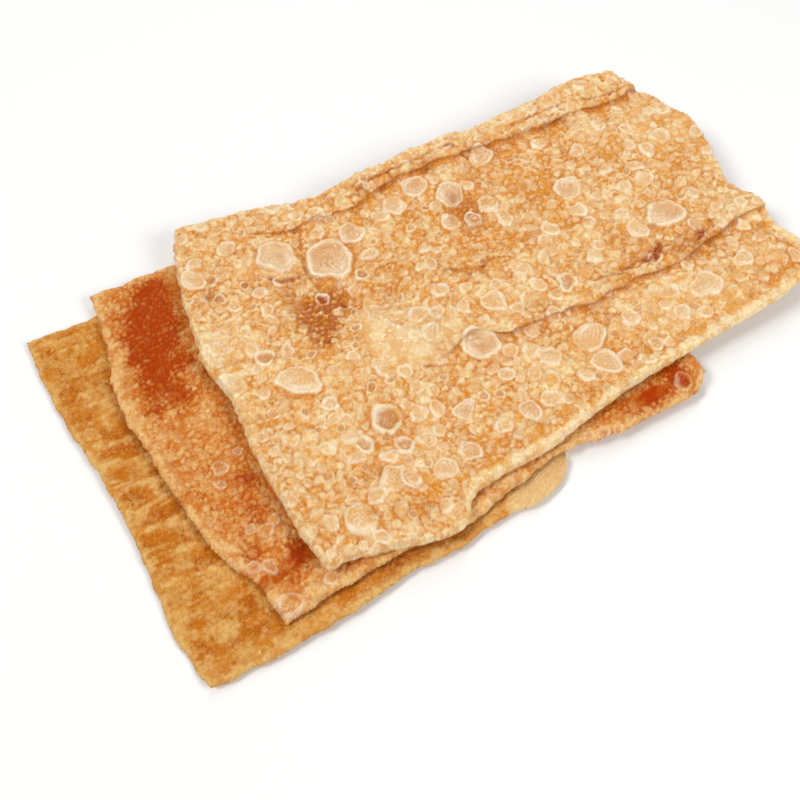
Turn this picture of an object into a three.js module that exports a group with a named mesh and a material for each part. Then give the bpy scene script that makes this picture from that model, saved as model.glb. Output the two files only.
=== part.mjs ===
// A stack of three sheets of fried tofu skin, each laid a little off the one below.
// Millimetres. +X runs along the sheets, +Y from front to back, +Z up. The stack rests on z = 0.
import * as THREE from 'three';

// ---- The whole stack -------------------------------------------------------------------------

// The outlines are laid out from the middle of the middle sheet, then moved so that the
// stack's box is centred on the origin.
const BOX_CENTRE = { x: 22.14, y: 3.05 };

// The three sheets dried over one another, so the same long waves run through all of them.
const SHARED_WAVE = { length: 58, width: 44, seed: 3 };

// ---- Bottom sheet: thin, nearly smooth, lies flat in wide patches ------------------------------

const BOTTOM = {
  name: 'sheet_bottom',
  colour: '#c88d3f',
  roughness: 0.5,
  columns: 32,
  rows: 26,
  thickness: 1.6,
  rim: 1.3,
  midHeight: bottomMidHeight,
  relief: bottomRelief,
  // Each side holds the points that its curve passes, between the sheet's four corners.
  frontLeft: [-102.2, -70.4],
  frontRight: [27.5, -61],
  backRight: [49, 62],
  backLeft: [-102, 66.8],
  front: [
    [-83, -72], [-55.6, -72.6], [-36, -71.2], [-22.4, -72.8], [-5.4, -71.3], [10.7, -73.3], [21.5, -69],
  ],
  right: [[33, -48], [45, -31], [52, 0], [51, 40]],
  back: [[-80, 64.8], [-42, 66.4], [4, 63.6]],
  left: [[-103.9, -52], [-101.3, -19], [-101, -1.2], [-103.3, 41]],
};

const BOTTOM_REST = { height: 1.0, sharedWave: 0.8, lowest: 0.3 };
// The front edge turns up along a shallow trough.
const FRONT_TROUGH = { y: -61.5, halfWidth: 5, depth: 0.35, rimY: -71, rimHalfWidth: 5, rise: 0.9 };
// The left edge is drawn into ripples that run in from it.
const EDGE_RIPPLES = { x: -92, halfWidth: 13, y: -12, halfLength: 36, spacing: 9, height: 0.35 };

// ---- Middle sheet: dark, finely blistered, edges curled up --------------------------------------

const MIDDLE = {
  name: 'sheet_middle',
  colour: '#b3601f',
  roughness: 0.42,
  columns: 34,
  rows: 27,
  thickness: 1.8,
  rim: 1.4,
  midHeight: middleMidHeight,
  relief: middleRelief,
  frontLeft: [-75.9, -66.3],
  frontRight: [81.6, -64.5],
  backRight: [75.5, 61],
  backLeft: [-76.6, 71.6],
  front: [
    [-58, -65.8], [-39.2, -65], [-15, -68.2], [8, -65.2], [25.9, -63.8], [36, -66.4], [54, -69], [75, -69],
  ],
  right: [[82, -53], [78.5, -22], [80, 10], [77, 42]],
  back: [[-44.4, 69], [-4, 66.6], [38, 64.6]],
  left: [[-77.3, -52.5], [-82.2, -36.4], [-85.3, 0.3], [-85.6, 27.6], [-79.6, 50]],
};

const MIDDLE_REST = { height: 3.75, sharedWave: 0.8, ownWave: 0.5, waveLength: 30, seed: 11 };
const MIDDLE_CURL = { width: 12, left: 0.9, front: 0.3 };
// A smooth channel cuts the blistered front left corner off from the rest.
const CHANNEL = { from: [-78, -53], to: [-52, -48.5], halfWidth: 3.6, depth: 0.9 };
const MIDDLE_HOLLOW = { x: -65, y: 36, radius: 15, depth: 1.0 };
// Blisters: x, y, radius.
const MIDDLE_BLISTERS = [
  [-65.5, -39, 6.5], [-72.6, -61.8, 4.2], [-64.8, -62, 3.6], [-69, -12, 3.4], [70.4, -65.4, 3.6],
];

// ---- Top sheet: golden, heavily blistered, folded over on itself --------------------------------

const TOP = {
  name: 'sheet_top',
  colour: '#dfa052',
  roughness: 0.38,
  columns: 46,
  rows: 36,
  thickness: 2.6,
  rim: 1.9,
  midHeight: topMidHeight,
  relief: topRelief,
  frontLeft: [-58, -60],
  frontRight: [137.5, -54.5],
  backRight: [136.5, 56],
  backLeft: [-40.2, 79.4],
  front: [
    [-46, -62.8], [-28, -68.5], [-16.5, -69.3], [-9.5, -62.8],
    [20, -62.1], [57.2, -58], [88, -57.6], [124, -57.2],
  ],
  right: [[142, -44], [140.4, -33], [142.8, -22], [138.9, -11.5], [148.2, 17.6], [143.5, 36]],
  back: [[-28, 75.8], [-10.2, 71.8], [5.4, 66], [44.5, 64.2], [77, 61], [125, 60.4]],
  left: [[-59.8, -53], [-58.9, -23], [-56, 4.8], [-56.4, 24.6], [-49, 57]],
  // Two lines run along the sheet: the free edge of the upper fold, and the crease in front
  // of the turned-up back. Rows of the mesh follow both.
  foldLine: [
    [-60, -17], [6, -17.5], [22, -14.5], [33.7, -20.8], [48.6, -23.1], [63, -25.9],
    [80, -25.6], [100, -28.2], [118, -26.2], [128, -24.8], [148, -26],
  ],
  creaseLine: [
    [-60, 67], [-24, 61.5], [2, 56.2], [18, 52.8], [36, 55], [52, 53],
    [72, 51.4], [84, 49.2], [106, 47], [126, 43.4], [150, 46],
  ],
};

const TOP_REST = { height: 7.95, sharedWave: 0.8, ownWave: 0.7, waveLength: 34, seed: 23 };
// The folded front is a thick round roll; left of it the edge sags onto the sheet below.
const FRONT_ROLL = { fromX: -12, toX: -4, thicken: 1.3, width: 7 };
const FRONT_SAG = { fromX: -46, toX: -12, width: 16, depth: 0.9 };
const UPPER_FOLD = { fromX: 2, toX: 26, step: 1.6, width: 2.2, lip: 0.7, lipBack: 3.2, lipWidth: 2.6 };
const BACK_TURN = { fromX: -30, toX: -6, step: 2.3, width: 2.4 };
const TOP_ENDS = { leftWidth: 14, leftLift: 0.9, rightFromX: 82, rightLift: 1.6 };
const BLISTER_HEIGHT = 0.34;
// Blisters that stand out of the rest: x, y, radius.
const TOP_BLISTERS = [
  [-16.9, 45.5, 6.7], [-1.4, 35.2, 8.4], [-44.2, 51.6, 4.6], [-41.5, 40, 7.6], [-34, 0.7, 6.6],
  [13.7, 41.9, 4.6], [26.2, 43.2, 4.2], [39.1, 44.5, 4.8], [48, 36.1, 5.3], [66.8, 44.3, 5.2],
  [41.3, 25.6, 3.8], [57.4, 24.6, 4.4], [83.9, 15.7, 5.3], [108, -10.6, 7], [130.3, 17.8, 4],
  [21.6, -19.6, 6.4], [34.7, -9.5, 4.6], [61.3, -15.5, 4], [53.6, -37.1, 5.8], [53.5, -48, 5.2],
  [38.5, -35, 4.6], [33.4, -43.7, 3.8], [21.1, -49.3, 4], [-17.7, -28.6, 5.8], [-18.3, -38.1, 4],
  [-27.5, -47, 5], [-43.3, -53.7, 5.6], [-12.4, -51.4, 4], [-2.7, -50.4, 3.9], [-54, 6.9, 5.5],
  [-15.4, 16.4, 7.2], [100.8, -41.4, 5.7], [107.2, -50.4, 4.3], [-23.2, -58, 4.2],
];
// One long pale blister lies across the middle of the sheet.
const LONG_BLISTER = { x: 5, y: -3.6, length: 17.5, width: 13.5, turn: -0.9, height: 3.0 };

// ---- Plain maths ---------------------------------------------------------------------------------

function smoothStep(from, to, value) {
  const t = Math.min(1, Math.max(0, (value - from) / (to - from)));
  return t * t * (3 - 2 * t);
}

function bell(distance, halfWidth) {
  return Math.exp(-((distance / halfWidth) ** 2));
}

function randomAt(column, row, seed) {
  const value = Math.sin(column * 127.1 + row * 311.7 + seed * 74.7) * 43758.5453;
  return value - Math.floor(value);
}

// Smooth random hills between -1 and 1, one cell of the pattern to a unit of x and y.
function hills(x, y, seed) {
  const column = Math.floor(x);
  const row = Math.floor(y);
  const across = smoothStep(0, 1, x - column);
  const up = smoothStep(0, 1, y - row);
  const [near, far] = [row, row + 1].map((line) => THREE.MathUtils.lerp(
    randomAt(column, line, seed),
    randomAt(column + 1, line, seed),
    across,
  ));
  return 2 * THREE.MathUtils.lerp(near, far, up) - 1;
}

function sharedWave(x, y) {
  return hills(x / SHARED_WAVE.length + 5, y / SHARED_WAVE.width + 5, SHARED_WAVE.seed);
}

// Height of a line that runs along X through the given points.
function lineAt(points, x) {
  let i = 0;
  while (i < points.length - 2 && x > points[i + 1][0]) {
    i += 1;
  }
  return THREE.MathUtils.lerp(points[i][1], points[i + 1][1], smoothStep(points[i][0], points[i + 1][0], x));
}

function distanceToSegment(x, y, from, to) {
  const alongX = to[0] - from[0];
  const alongY = to[1] - from[1];
  const t = ((x - from[0]) * alongX + (y - from[1]) * alongY) / (alongX ** 2 + alongY ** 2);
  const clamped = Math.min(1, Math.max(0, t));
  return Math.hypot(x - from[0] - clamped * alongX, y - from[1] - clamped * alongY);
}

function dome(x, y, [centreX, centreY, radius], height) {
  const spread = ((x - centreX) ** 2 + (y - centreY) ** 2) / radius ** 2;
  return spread < 1 ? height * (1 - spread) ** 1.2 : 0;
}

// ---- Form of each sheet: height of its middle layer, and relief of its upper face ----------------

function bottomMidHeight(x, y) {
  const wave = BOTTOM_REST.sharedWave * sharedWave(x, y);
  const trough = -FRONT_TROUGH.depth * bell(y - FRONT_TROUGH.y, FRONT_TROUGH.halfWidth);
  const rim = FRONT_TROUGH.rise * bell(Math.min(0, FRONT_TROUGH.rimY - y), FRONT_TROUGH.rimHalfWidth);
  const edge = smoothStep(-94, -104, x) * 0.4;
  return Math.max(BOTTOM_REST.lowest, BOTTOM_REST.height + wave + trough + rim + edge);
}

function bottomRelief(x, y) {
  const { halfWidth, halfLength, spacing, height } = EDGE_RIPPLES;
  const inside = bell(x - EDGE_RIPPLES.x, halfWidth) * bell(y - EDGE_RIPPLES.y, halfLength);
  const phase = (2 * Math.PI * (y + 0.25 * x)) / spacing;
  const open = smoothStep(-74, -84, x);
  return inside * height * (1 + Math.sin(phase)) + open * 0.35 * (1 + hills(x / 9, y / 9, 5));
}

function middleMidHeight(x, y) {
  const own = hills(x / MIDDLE_REST.waveLength, y / MIDDLE_REST.waveLength, MIDDLE_REST.seed);
  const leftCurl = MIDDLE_CURL.left * smoothStep(-86 + MIDDLE_CURL.width, -86, x);
  const frontCurl = MIDDLE_CURL.front * smoothStep(-69 + MIDDLE_CURL.width, -69, y);
  const wave = MIDDLE_REST.sharedWave * sharedWave(x, y) + MIDDLE_REST.ownWave * own;
  return MIDDLE_REST.height + wave + leftCurl + frontCurl;
}

function middleRelief(x, y) {
  const open = Math.max(smoothStep(-54, -64, x), smoothStep(-58, -64, y));
  const fromChannel = distanceToSegment(x, y, CHANNEL.from, CHANNEL.to);
  const channel = -CHANNEL.depth * bell(fromChannel, CHANNEL.halfWidth);
  const fromHollow = Math.hypot(x - MIDDLE_HOLLOW.x, y - MIDDLE_HOLLOW.y);
  const hollow = -MIDDLE_HOLLOW.depth * bell(fromHollow, MIDDLE_HOLLOW.radius);
  let raised = 0.55 * (1 + hills(x / 6, y / 6, 17));
  for (const blister of MIDDLE_BLISTERS) {
    raised = Math.max(raised, dome(x, y, blister, 0.4 * blister[2]));
  }
  return open * (raised + channel + hollow);
}

function topMidHeight(x, y) {
  const own = hills(x / TOP_REST.waveLength, y / TOP_REST.waveLength, TOP_REST.seed);
  const wave = TOP_REST.sharedWave * sharedWave(x, y) + TOP_REST.ownWave * own;
  const leftLift = TOP_ENDS.leftLift * smoothStep(-59 + TOP_ENDS.leftWidth, -59, x);
  const rightLift = TOP_ENDS.rightLift * smoothStep(TOP_ENDS.rightFromX, 146, x);
  const sagStart = smoothStep(FRONT_SAG.fromX - 10, FRONT_SAG.fromX, x);
  const sagEnd = smoothStep(FRONT_SAG.toX + 3, FRONT_SAG.toX - 6, x);
  const sag = -FRONT_SAG.depth * sagStart * sagEnd * smoothStep(-70 + FRONT_SAG.width, -70, y);
  return TOP_REST.height + wave + leftLift + rightLift + sag;
}

function topRelief(x, y) {
  const pastFold = y - lineAt(TOP.foldLine, x);
  const pastCrease = y - lineAt(TOP.creaseLine, x);
  const foldAlong = smoothStep(UPPER_FOLD.fromX, UPPER_FOLD.toX, x);
  const step = UPPER_FOLD.step * smoothStep(-UPPER_FOLD.width / 2, UPPER_FOLD.width / 2, pastFold);
  const lip = UPPER_FOLD.lip * bell(pastFold - UPPER_FOLD.lipBack, UPPER_FOLD.lipWidth);
  const turnAlong = smoothStep(BACK_TURN.fromX, BACK_TURN.toX, x);
  const turn = BACK_TURN.step * smoothStep(-BACK_TURN.width / 2, BACK_TURN.width / 2, pastCrease);
  const rollAlong = smoothStep(FRONT_ROLL.fromX, FRONT_ROLL.toX, x);
  const roll = FRONT_ROLL.thicken * smoothStep(-58 + FRONT_ROLL.width, -58, y) * rollAlong;
  return foldAlong * (step + lip) + turnAlong * turn + roll + topBlisters(x, y, pastCrease);
}

function topBlisters(x, y, pastCrease) {
  const { length, width, turn, height } = LONG_BLISTER;
  const dx = x - LONG_BLISTER.x;
  const dy = y - LONG_BLISTER.y;
  const along = Math.cos(turn) * dx + Math.sin(turn) * dy;
  const across = Math.cos(turn) * dy - Math.sin(turn) * dx;
  let raised = dome((along * width) / length, across, [0, 0, width], height);
  for (const blister of TOP_BLISTERS) {
    raised = Math.max(raised, dome(x, y, blister, BLISTER_HEIGHT * blister[2]));
  }
  const bare = smoothStep(3, -1, pastCrease);
  return Math.max(raised * bare, 0.6 + 0.55 * hills(x / 6.5, y / 6.5, 29));
}

// ---- Building one sheet ---------------------------------------------------------------------------

// A smooth curve through a side's points, from one corner to the next.
function sideCurve(from, points, to) {
  const places = [from, ...points, to].map(([x, y]) => new THREE.Vector3(x, y, 0));
  return new THREE.CatmullRomCurve3(places, false, 'centripetal');
}

function sidesOf(sheet) {
  return {
    front: sideCurve(sheet.frontLeft, sheet.front, sheet.frontRight),
    right: sideCurve(sheet.frontRight, sheet.right, sheet.backRight),
    back: sideCurve(sheet.backLeft, sheet.back, sheet.backRight),
    left: sideCurve(sheet.frontLeft, sheet.left, sheet.backLeft),
  };
}

// Place on the sheet, u of the way along and v of the way from front to back, blended from
// the four sides.
function placeOn(sides, u, v) {
  const front = sides.front.getPointAt(u);
  const back = sides.back.getPointAt(u);
  const left = sides.left.getPointAt(v);
  const right = sides.right.getPointAt(v);
  const near = sides.front.getPointAt(0).lerp(sides.front.getPointAt(1), u);
  const far = sides.back.getPointAt(0).lerp(sides.back.getPointAt(1), u);
  const throughSides = front.lerp(back, v).add(left.lerp(right, u));
  return throughSides.sub(near.lerp(far, v));
}

// Cuts 0 to 1 into parts: short ones in the rounded rim at both ends and beside each line,
// equal ones between. Each line is a place from 0 to 1.
function cutsAcross(parts, length, rim, lines, lineWidth) {
  const rimPart = rim / length;
  const halfLine = lineWidth / 2 / length;
  const starts = [rimPart, ...lines.map((line) => line + halfLine)];
  const ends = [...lines.map((line) => line - halfLine), 1 - rimPart];
  const open = ends.reduce((sum, end, i) => sum + end - starts[i], 0);
  const spare = parts - 4 - lines.length;
  const cuts = [0, 0.35 * rimPart];
  let left = spare;
  ends.forEach((end, i) => {
    const isLast = i === ends.length - 1;
    const share = isLast ? left : Math.round((spare * (end - starts[i])) / open);
    left -= share;
    for (let k = 0; k <= share; k += 1) {
      cuts.push(THREE.MathUtils.lerp(starts[i], end, k / share));
    }
  });
  cuts.push(1 - 0.35 * rimPart, 1);
  return cuts;
}

// Rows of a folded sheet follow its lines: finds the v that a row has at u.
function followLines(sheet, sides, lines, u, row) {
  const start = placeOn(sides, u, 0).y;
  const end = placeOn(sides, u, 1).y;
  const knots = [[0, 0]];
  for (const line of lines) {
    const x = placeOn(sides, u, line.row).x;
    knots.push([line.row, (lineAt(line.points, x) - start) / (end - start)]);
  }
  knots.push([1, 1]);
  let i = 0;
  while (i < knots.length - 2 && row > knots[i + 1][0]) {
    i += 1;
  }
  const part = (row - knots[i][0]) / (knots[i + 1][0] - knots[i][0]);
  return THREE.MathUtils.lerp(knots[i][1], knots[i + 1][1], part);
}

function linesOf(sheet) {
  if (!sheet.foldLine) {
    return [];
  }
  return [
    { points: sheet.foldLine, row: 0.3 },
    { points: sheet.creaseLine, row: 0.9 },
  ];
}

// Half the sheet's thickness at a distance from its edge, round like the edge of a leaf.
function halfThickness(sheet, distance) {
  const inset = 1 - Math.min(1, distance / sheet.rim);
  return (sheet.thickness / 2) * Math.sqrt(1 - inset ** 2);
}

function sheetMesh(sheet) {
  const sides = sidesOf(sheet);
  const lines = linesOf(sheet);
  const length = sides.front.getLength();
  const width = sides.left.getLength();
  const us = cutsAcross(sheet.columns, length, sheet.rim, [], 0);
  const rows = cutsAcross(sheet.rows, width, sheet.rim, lines.map((line) => line.row), 2.4);
  const columnCount = us.length;
  const rowCount = rows.length;
  const positions = [];
  const upper = [];
  const lower = [];

  for (let j = 0; j < rowCount; j += 1) {
    for (let i = 0; i < columnCount; i += 1) {
      const v = followLines(sheet, sides, lines, us[i], rows[j]);
      const place = placeOn(sides, us[i], v);
      const fromEnds = Math.min(us[i], 1 - us[i]) * length;
      const fromSides = Math.min(v, 1 - v) * width;
      const half = Math.min(halfThickness(sheet, fromEnds), halfThickness(sheet, fromSides));
      const middle = sheet.midHeight(place.x, place.y);
      const relief = sheet.relief(place.x, place.y) * smoothStep(0, 3, Math.min(fromEnds, fromSides));
      const x = place.x - BOX_CENTRE.x;
      const y = place.y - BOX_CENTRE.y;
      upper.push(positions.length / 3);
      positions.push(x, y, middle + half + relief);
      const onEdge = half === 0;
      lower.push(onEdge ? upper[upper.length - 1] : positions.length / 3);
      if (!onEdge) {
        positions.push(x, y, Math.max(0, middle - half));
      }
    }
  }

  const indices = [];
  for (let j = 0; j < rowCount - 1; j += 1) {
    for (let i = 0; i < columnCount - 1; i += 1) {
      const first = j * columnCount + i;
      const corners = [first, first + 1, first + columnCount + 1, first + columnCount];
      const atFront = j < (rowCount - 1) / 2;
      const atLeft = i < (columnCount - 1) / 2;
      const turned = atFront === atLeft ? 0 : 1;
      const [a, b, c, d] = [0, 1, 2, 3].map((k) => corners[(k + turned) % 4]);
      indices.push(upper[a], upper[b], upper[c], upper[a], upper[c], upper[d]);
      indices.push(lower[a], lower[c], lower[b], lower[a], lower[d], lower[c]);
    }
  }

  const geometry = new THREE.BufferGeometry();
  geometry.setAttribute('position', new THREE.Float32BufferAttribute(positions, 3));
  geometry.setIndex(indices);
  geometry.computeVertexNormals();
  const material = new THREE.MeshStandardMaterial({
    color: sheet.colour,
    roughness: sheet.roughness,
    metalness: 0,
  });
  const mesh = new THREE.Mesh(geometry, material);
  mesh.name = sheet.name;
  return mesh;
}

const stack = new THREE.Group();
stack.name = 'stack_of_fried_tofu_skin';
for (const sheet of [BOTTOM, MIDDLE, TOP]) {
  stack.add(sheetMesh(sheet));
}

export default stack;
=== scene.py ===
"""Three sheets of fried tofu skin in a stack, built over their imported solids.

Every sheet is a thin, closed skin: its outline and long waves are those of the solid, and its
upper face carries the blisters, folds and creases that frying leaves.
"""

import math
from dataclasses import dataclass, field
from functools import partial

import bpy
import numpy as np
from bpy.props import FloatProperty, FloatVectorProperty, IntProperty, PointerProperty
from mathutils import Matrix, Vector


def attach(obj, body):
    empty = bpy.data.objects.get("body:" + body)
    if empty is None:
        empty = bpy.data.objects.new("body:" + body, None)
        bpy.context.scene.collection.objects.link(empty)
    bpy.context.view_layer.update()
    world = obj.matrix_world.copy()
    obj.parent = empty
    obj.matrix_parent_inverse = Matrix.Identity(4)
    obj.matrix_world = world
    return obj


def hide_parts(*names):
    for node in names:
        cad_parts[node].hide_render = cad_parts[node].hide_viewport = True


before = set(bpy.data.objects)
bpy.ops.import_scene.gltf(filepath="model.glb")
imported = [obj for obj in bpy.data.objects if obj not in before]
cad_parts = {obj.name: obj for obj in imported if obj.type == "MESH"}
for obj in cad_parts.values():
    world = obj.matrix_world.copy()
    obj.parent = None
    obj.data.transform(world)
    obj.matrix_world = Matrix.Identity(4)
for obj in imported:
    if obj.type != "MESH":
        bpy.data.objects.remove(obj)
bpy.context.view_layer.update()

bl_info = {
    "name": "Fried Tofu Skin",
    "version": (1, 0, 0),
    "blender": (4, 5, 0),
    "location": "3D View > Sidebar > Tofu Skin",
    "description": "Builds a stack of blistered fried tofu skin sheets",
    "category": "Add Mesh",
}

BODY = "root"

MM = 0.001
# The sheets are laid out from the middle of the middle sheet, in millimetres. This is the
# middle of the whole stack's box in those units, and the frame's origin.
BOX_CENTRE = np.array([22.14, 3.05])
# Above this height blisters flatten out, and none gets higher than it by more than the softening.
HIGHEST = 15.3
SOFTENING = 0.8


# ---- Plain maths ----


def smooth_step(low, high, value):
    t = np.clip((value - low) / (high - low), 0.0, 1.0)
    return t * t * (3 - 2 * t)


def bell(distance, half_width):
    return np.exp(-((distance / half_width) ** 2))


def random_at(column, row, seed):
    value = np.sin(column * 127.1 + row * 311.7 + seed * 74.7) * 43758.5453
    return value - np.floor(value)


def hills(x, y, seed):
    """Smooth random hills between -1 and 1, one cell of the pattern to a unit of x and y."""
    column, row = np.floor(x), np.floor(y)
    across = smooth_step(0, 1, x - column)
    up = smooth_step(0, 1, y - row)
    near, far = (
        random_at(column, row + k, seed) * (1 - across) + random_at(column + 1, row + k, seed) * across
        for k in (0, 1)
    )
    return 2 * (near * (1 - up) + far * up) - 1


def layered_hills(x, y, size, seed):
    """Hills of the given size in mm with finer ones on them."""
    wide = hills(x / size, y / size, seed)
    fine = hills(x / size * 2.3 + 9, y / size * 2.3 + 4, seed + 1)
    finest = hills(x / size * 5.1 + 3, y / size * 5.1 + 8, seed + 2)
    return (wide + 0.5 * fine + 0.25 * finest) / 1.5


def line_at(points, x):
    """Height of a line that runs along X through the given points."""
    points = np.array(points)
    i = np.clip(np.searchsorted(points[:, 0], x) - 1, 0, len(points) - 2)
    step = smooth_step(0, 1, (x - points[i, 0]) / (points[i + 1, 0] - points[i, 0]))
    return points[i, 1] * (1 - step) + points[i + 1, 1] * step


def ripple(along, size, seed, row=0.0):
    """Hills along a line only, taken from one row of the pattern."""
    return hills(along / size, np.full_like(along, row), seed)


def fold_line(points, x, seed, jagged):
    """A line along X that wanders a little, and is jagged as the edge of crisp skin is."""
    teeth = 0.7 * ripple(x, 2.8, seed, 1.5) + 0.4 * ripple(x, 1.4, seed, 4.5)
    return line_at(points, x) + 0.8 * ripple(x, 6.5, seed, 3.5) + jagged * teeth


def past_line(fold, x, y):
    """How far behind a fold's line a place lies."""
    return y - fold_line(fold["line"], x, fold["seed"], fold["jagged"])


def share_along(form, x):
    """How far a form has come up at x, from where it starts to where it is full."""
    return smooth_step(form["from_x"], form["to_x"], x)


def towards(edge, width, place):
    """Comes up to 1 at an edge, over a width inside it."""
    return smooth_step(edge + width, edge, place)


def turned(x, y, turn):
    """A step's parts along a line at the given turn, and across it."""
    return math.cos(turn) * x + math.sin(turn) * y, math.cos(turn) * y - math.sin(turn) * x


def distance_to_segment(x, y, start, end):
    along = np.subtract(end, start)
    t = ((x - start[0]) * along[0] + (y - start[1]) * along[1]) / (along @ along)
    t = np.clip(t, 0, 1)
    return np.hypot(x - start[0] - t * along[0], y - start[1] - t * along[1])


def bubble_drift(x, y):
    """Offsets along X and Y that make round blisters uneven, as neighbours pull at each other."""
    return tuple(
        0.7 * hills(x / 4.5, y / 4.5, seed) + 0.25 * hills(x / 1.7, y / 1.7, seed + 1) for seed in (51, 53)
    )


def lobed(angle, phases):
    """How far out a blister's edge stands at an angle, as a share of its radius."""
    lobes = zip((2, 3, 5), (0.09, 0.06, 0.04), phases)
    return sum((height * np.sin(count * angle + phase) for count, height, phase in lobes), 1)


def srgb(hex_colour):
    """Linear colour of an sRGB hex value such as "#e2aa60"."""
    parts = [int(hex_colour[i : i + 2], 16) / 255 for i in (1, 3, 5)]
    return tuple(c / 12.92 if c <= 0.04045 else ((c + 0.055) / 1.055) ** 2.4 for c in parts)


# ---- The sheets, in millimetres ----


@dataclass
class Sheet:
    """A sheet's outline, thickness and place. Each side holds the points that its curve passes."""

    node: str
    slot: str
    thickness: float
    rim: float
    front_left: tuple
    front_right: tuple
    back_right: tuple
    back_left: tuple
    front: list
    right: list
    back: list
    left: list
    ragged: float
    seed: int
    lines: list = field(default_factory=list)


SHARED_WAVE = {"length": 58, "width": 44, "seed": 3}

BOTTOM = Sheet(
    node="sheet_bottom",
    slot="tofu_skin_pale",
    thickness=1.6,
    rim=1.3,
    front_left=(-102.2, -70.4),
    front_right=(27.5, -61),
    back_right=(49, 62),
    back_left=(-102, 66.8),
    front=[
        (-83, -72), (-55.6, -72.6), (-36, -71.2), (-22.4, -72.8), (-5.4, -71.3), (10.7, -73.3), (21.5, -69),
    ],
    right=[(33, -48), (45, -31), (52, 0), (51, 40)],
    back=[(-80, 64.8), (-42, 66.4), (4, 63.6)],
    left=[(-103.9, -52), (-101.3, -19), (-101, -1.2), (-103.3, 41)],
    ragged=0.55,
    seed=41,
)
BOTTOM_REST = {"height": 1.0, "shared_wave": 0.8, "lowest": 0.3}
BOTTOM_EDGE = {"from_x": -94, "to_x": -104, "rise": 0.4}
FRONT_TROUGH = {
    "y": -61.5, "half_width": 5, "depth": 0.35, "rim_y": -71, "rim_half_width": 5, "rise": 0.9,
    "shade_y": -62.5, "shade_half_width": 1.1,
}
EDGE_RIPPLES = {"x": -92, "half_width": 13, "y": -12, "half_length": 36, "spacing": 9, "height": 0.35}
# The front right corner is a thin, pale flap.
PALE_FLAP = {"start": (4, -71), "end": (24, -66), "half_width": 6}

MIDDLE = Sheet(
    node="sheet_middle",
    slot="tofu_skin_dark",
    thickness=1.8,
    rim=1.4,
    front_left=(-75.9, -66.3),
    front_right=(81.6, -64.5),
    back_right=(75.5, 61),
    back_left=(-76.6, 71.6),
    front=[
        (-58, -65.8), (-39.2, -65), (-15, -68.2), (8, -65.2),
        (25.9, -63.8), (36, -66.4), (54, -69), (75, -69),
    ],
    right=[(82, -53), (78.5, -22), (80, 10), (77, 42)],
    back=[(-44.4, 69), (-4, 66.6), (38, 64.6)],
    left=[(-77.3, -52.5), (-82.2, -36.4), (-85.3, 0.3), (-85.6, 27.6), (-79.6, 50)],
    ragged=0.75,
    seed=43,
)
MIDDLE_REST = {"height": 3.75, "shared_wave": 0.8, "own_wave": 0.5, "wave_length": 30, "seed": 11}
MIDDLE_CURL = {"left_x": -86, "front_y": -69, "width": 12, "left": 0.9, "front": 0.3}
CHANNEL = {"start": (-78, -53), "end": (-52, -48.5), "half_width": 3.6, "depth": 0.9}
MIDDLE_HOLLOW = {"x": -65, "y": 36, "radius": 15, "depth": 1.0}
SMOOTH_TIP = {"x": 60, "y": -63, "half_length": 9, "half_width": 3.2}

TOP = Sheet(
    node="sheet_top",
    slot="tofu_skin_golden",
    thickness=2.6,
    rim=1.9,
    front_left=(-58, -60),
    front_right=(137.5, -54.5),
    back_right=(136.5, 56),
    back_left=(-40.2, 79.4),
    front=[
        (-46, -62.8), (-28, -68.5), (-16.5, -69.3), (-9.5, -62.8),
        (20, -62.1), (57.2, -58), (88, -57.6), (124, -57.2),
    ],
    right=[(142, -44), (140.4, -33), (142.8, -22), (138.9, -11.5), (148.2, 17.6), (143.5, 36)],
    back=[(-28, 75.8), (-10.2, 71.8), (5.4, 66), (44.5, 64.2), (77, 61), (125, 60.4)],
    left=[(-59.8, -53), (-58.9, -23), (-56, 4.8), (-56.4, 24.6), (-49, 57)],
    ragged=0.8,
    seed=47,
    lines=[
        # The free edge of the upper fold.
        (0.3, [
            (-60, -17), (6, -17.5), (22, -14.5), (33.7, -20.8), (48.6, -23.1), (63, -25.9), (80, -25.6),
            (100, -28.2), (118, -26.2), (128, -24.8), (148, -26),
        ]),
        # The crease in front of the turned-up back.
        (0.9, [
            (-60, 67), (-24, 61.5), (2, 56.2), (18, 52.8), (36, 55), (52, 53), (72, 51.4), (84, 49.2),
            (106, 47), (126, 43.4), (150, 46),
        ]),
    ],
)
TOP_REST = {"height": 7.95, "shared_wave": 0.8, "own_wave": 0.7, "wave_length": 34, "seed": 23}
# The rolled front lies before this line.
FRONT_PART_Y = -30
FRONT_ROLL = {"from_x": -12, "to_x": -4, "front_y": -58, "width": 7, "thicken": 1.3}
FRONT_SAG = {"from_x": -46, "to_x": -12, "front_y": -70, "width": 16, "depth": 0.9}
UPPER_FOLD = {
    "row": TOP.lines[0][0], "line": TOP.lines[0][1], "seed": 1, "from_x": 2, "to_x": 26, "step": 1.6,
    "width": 2.2, "lip": 0.7, "overhang": 0.5, "jagged": 0.35,
}
BACK_TURN = {
    "row": TOP.lines[1][0], "line": TOP.lines[1][1], "seed": 2, "from_x": -30, "to_x": -6, "step": 1.9,
    "width": 2.2, "overhang": 0.45, "jagged": 1.0,
}
TOP_LEFT_END = {"x": -59, "width": 14, "lift": 0.9}
TOP_RIGHT_END = {"from_x": 82, "to_x": 146, "lift": 1.6}
LONG_BLISTER = {
    "x": 5, "y": -3.6, "length": 17.5, "width": 13.5, "turn": -0.9, "height": 2.9, "crest": -0.6,
    "crest_slope": -5.8,
}

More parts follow.
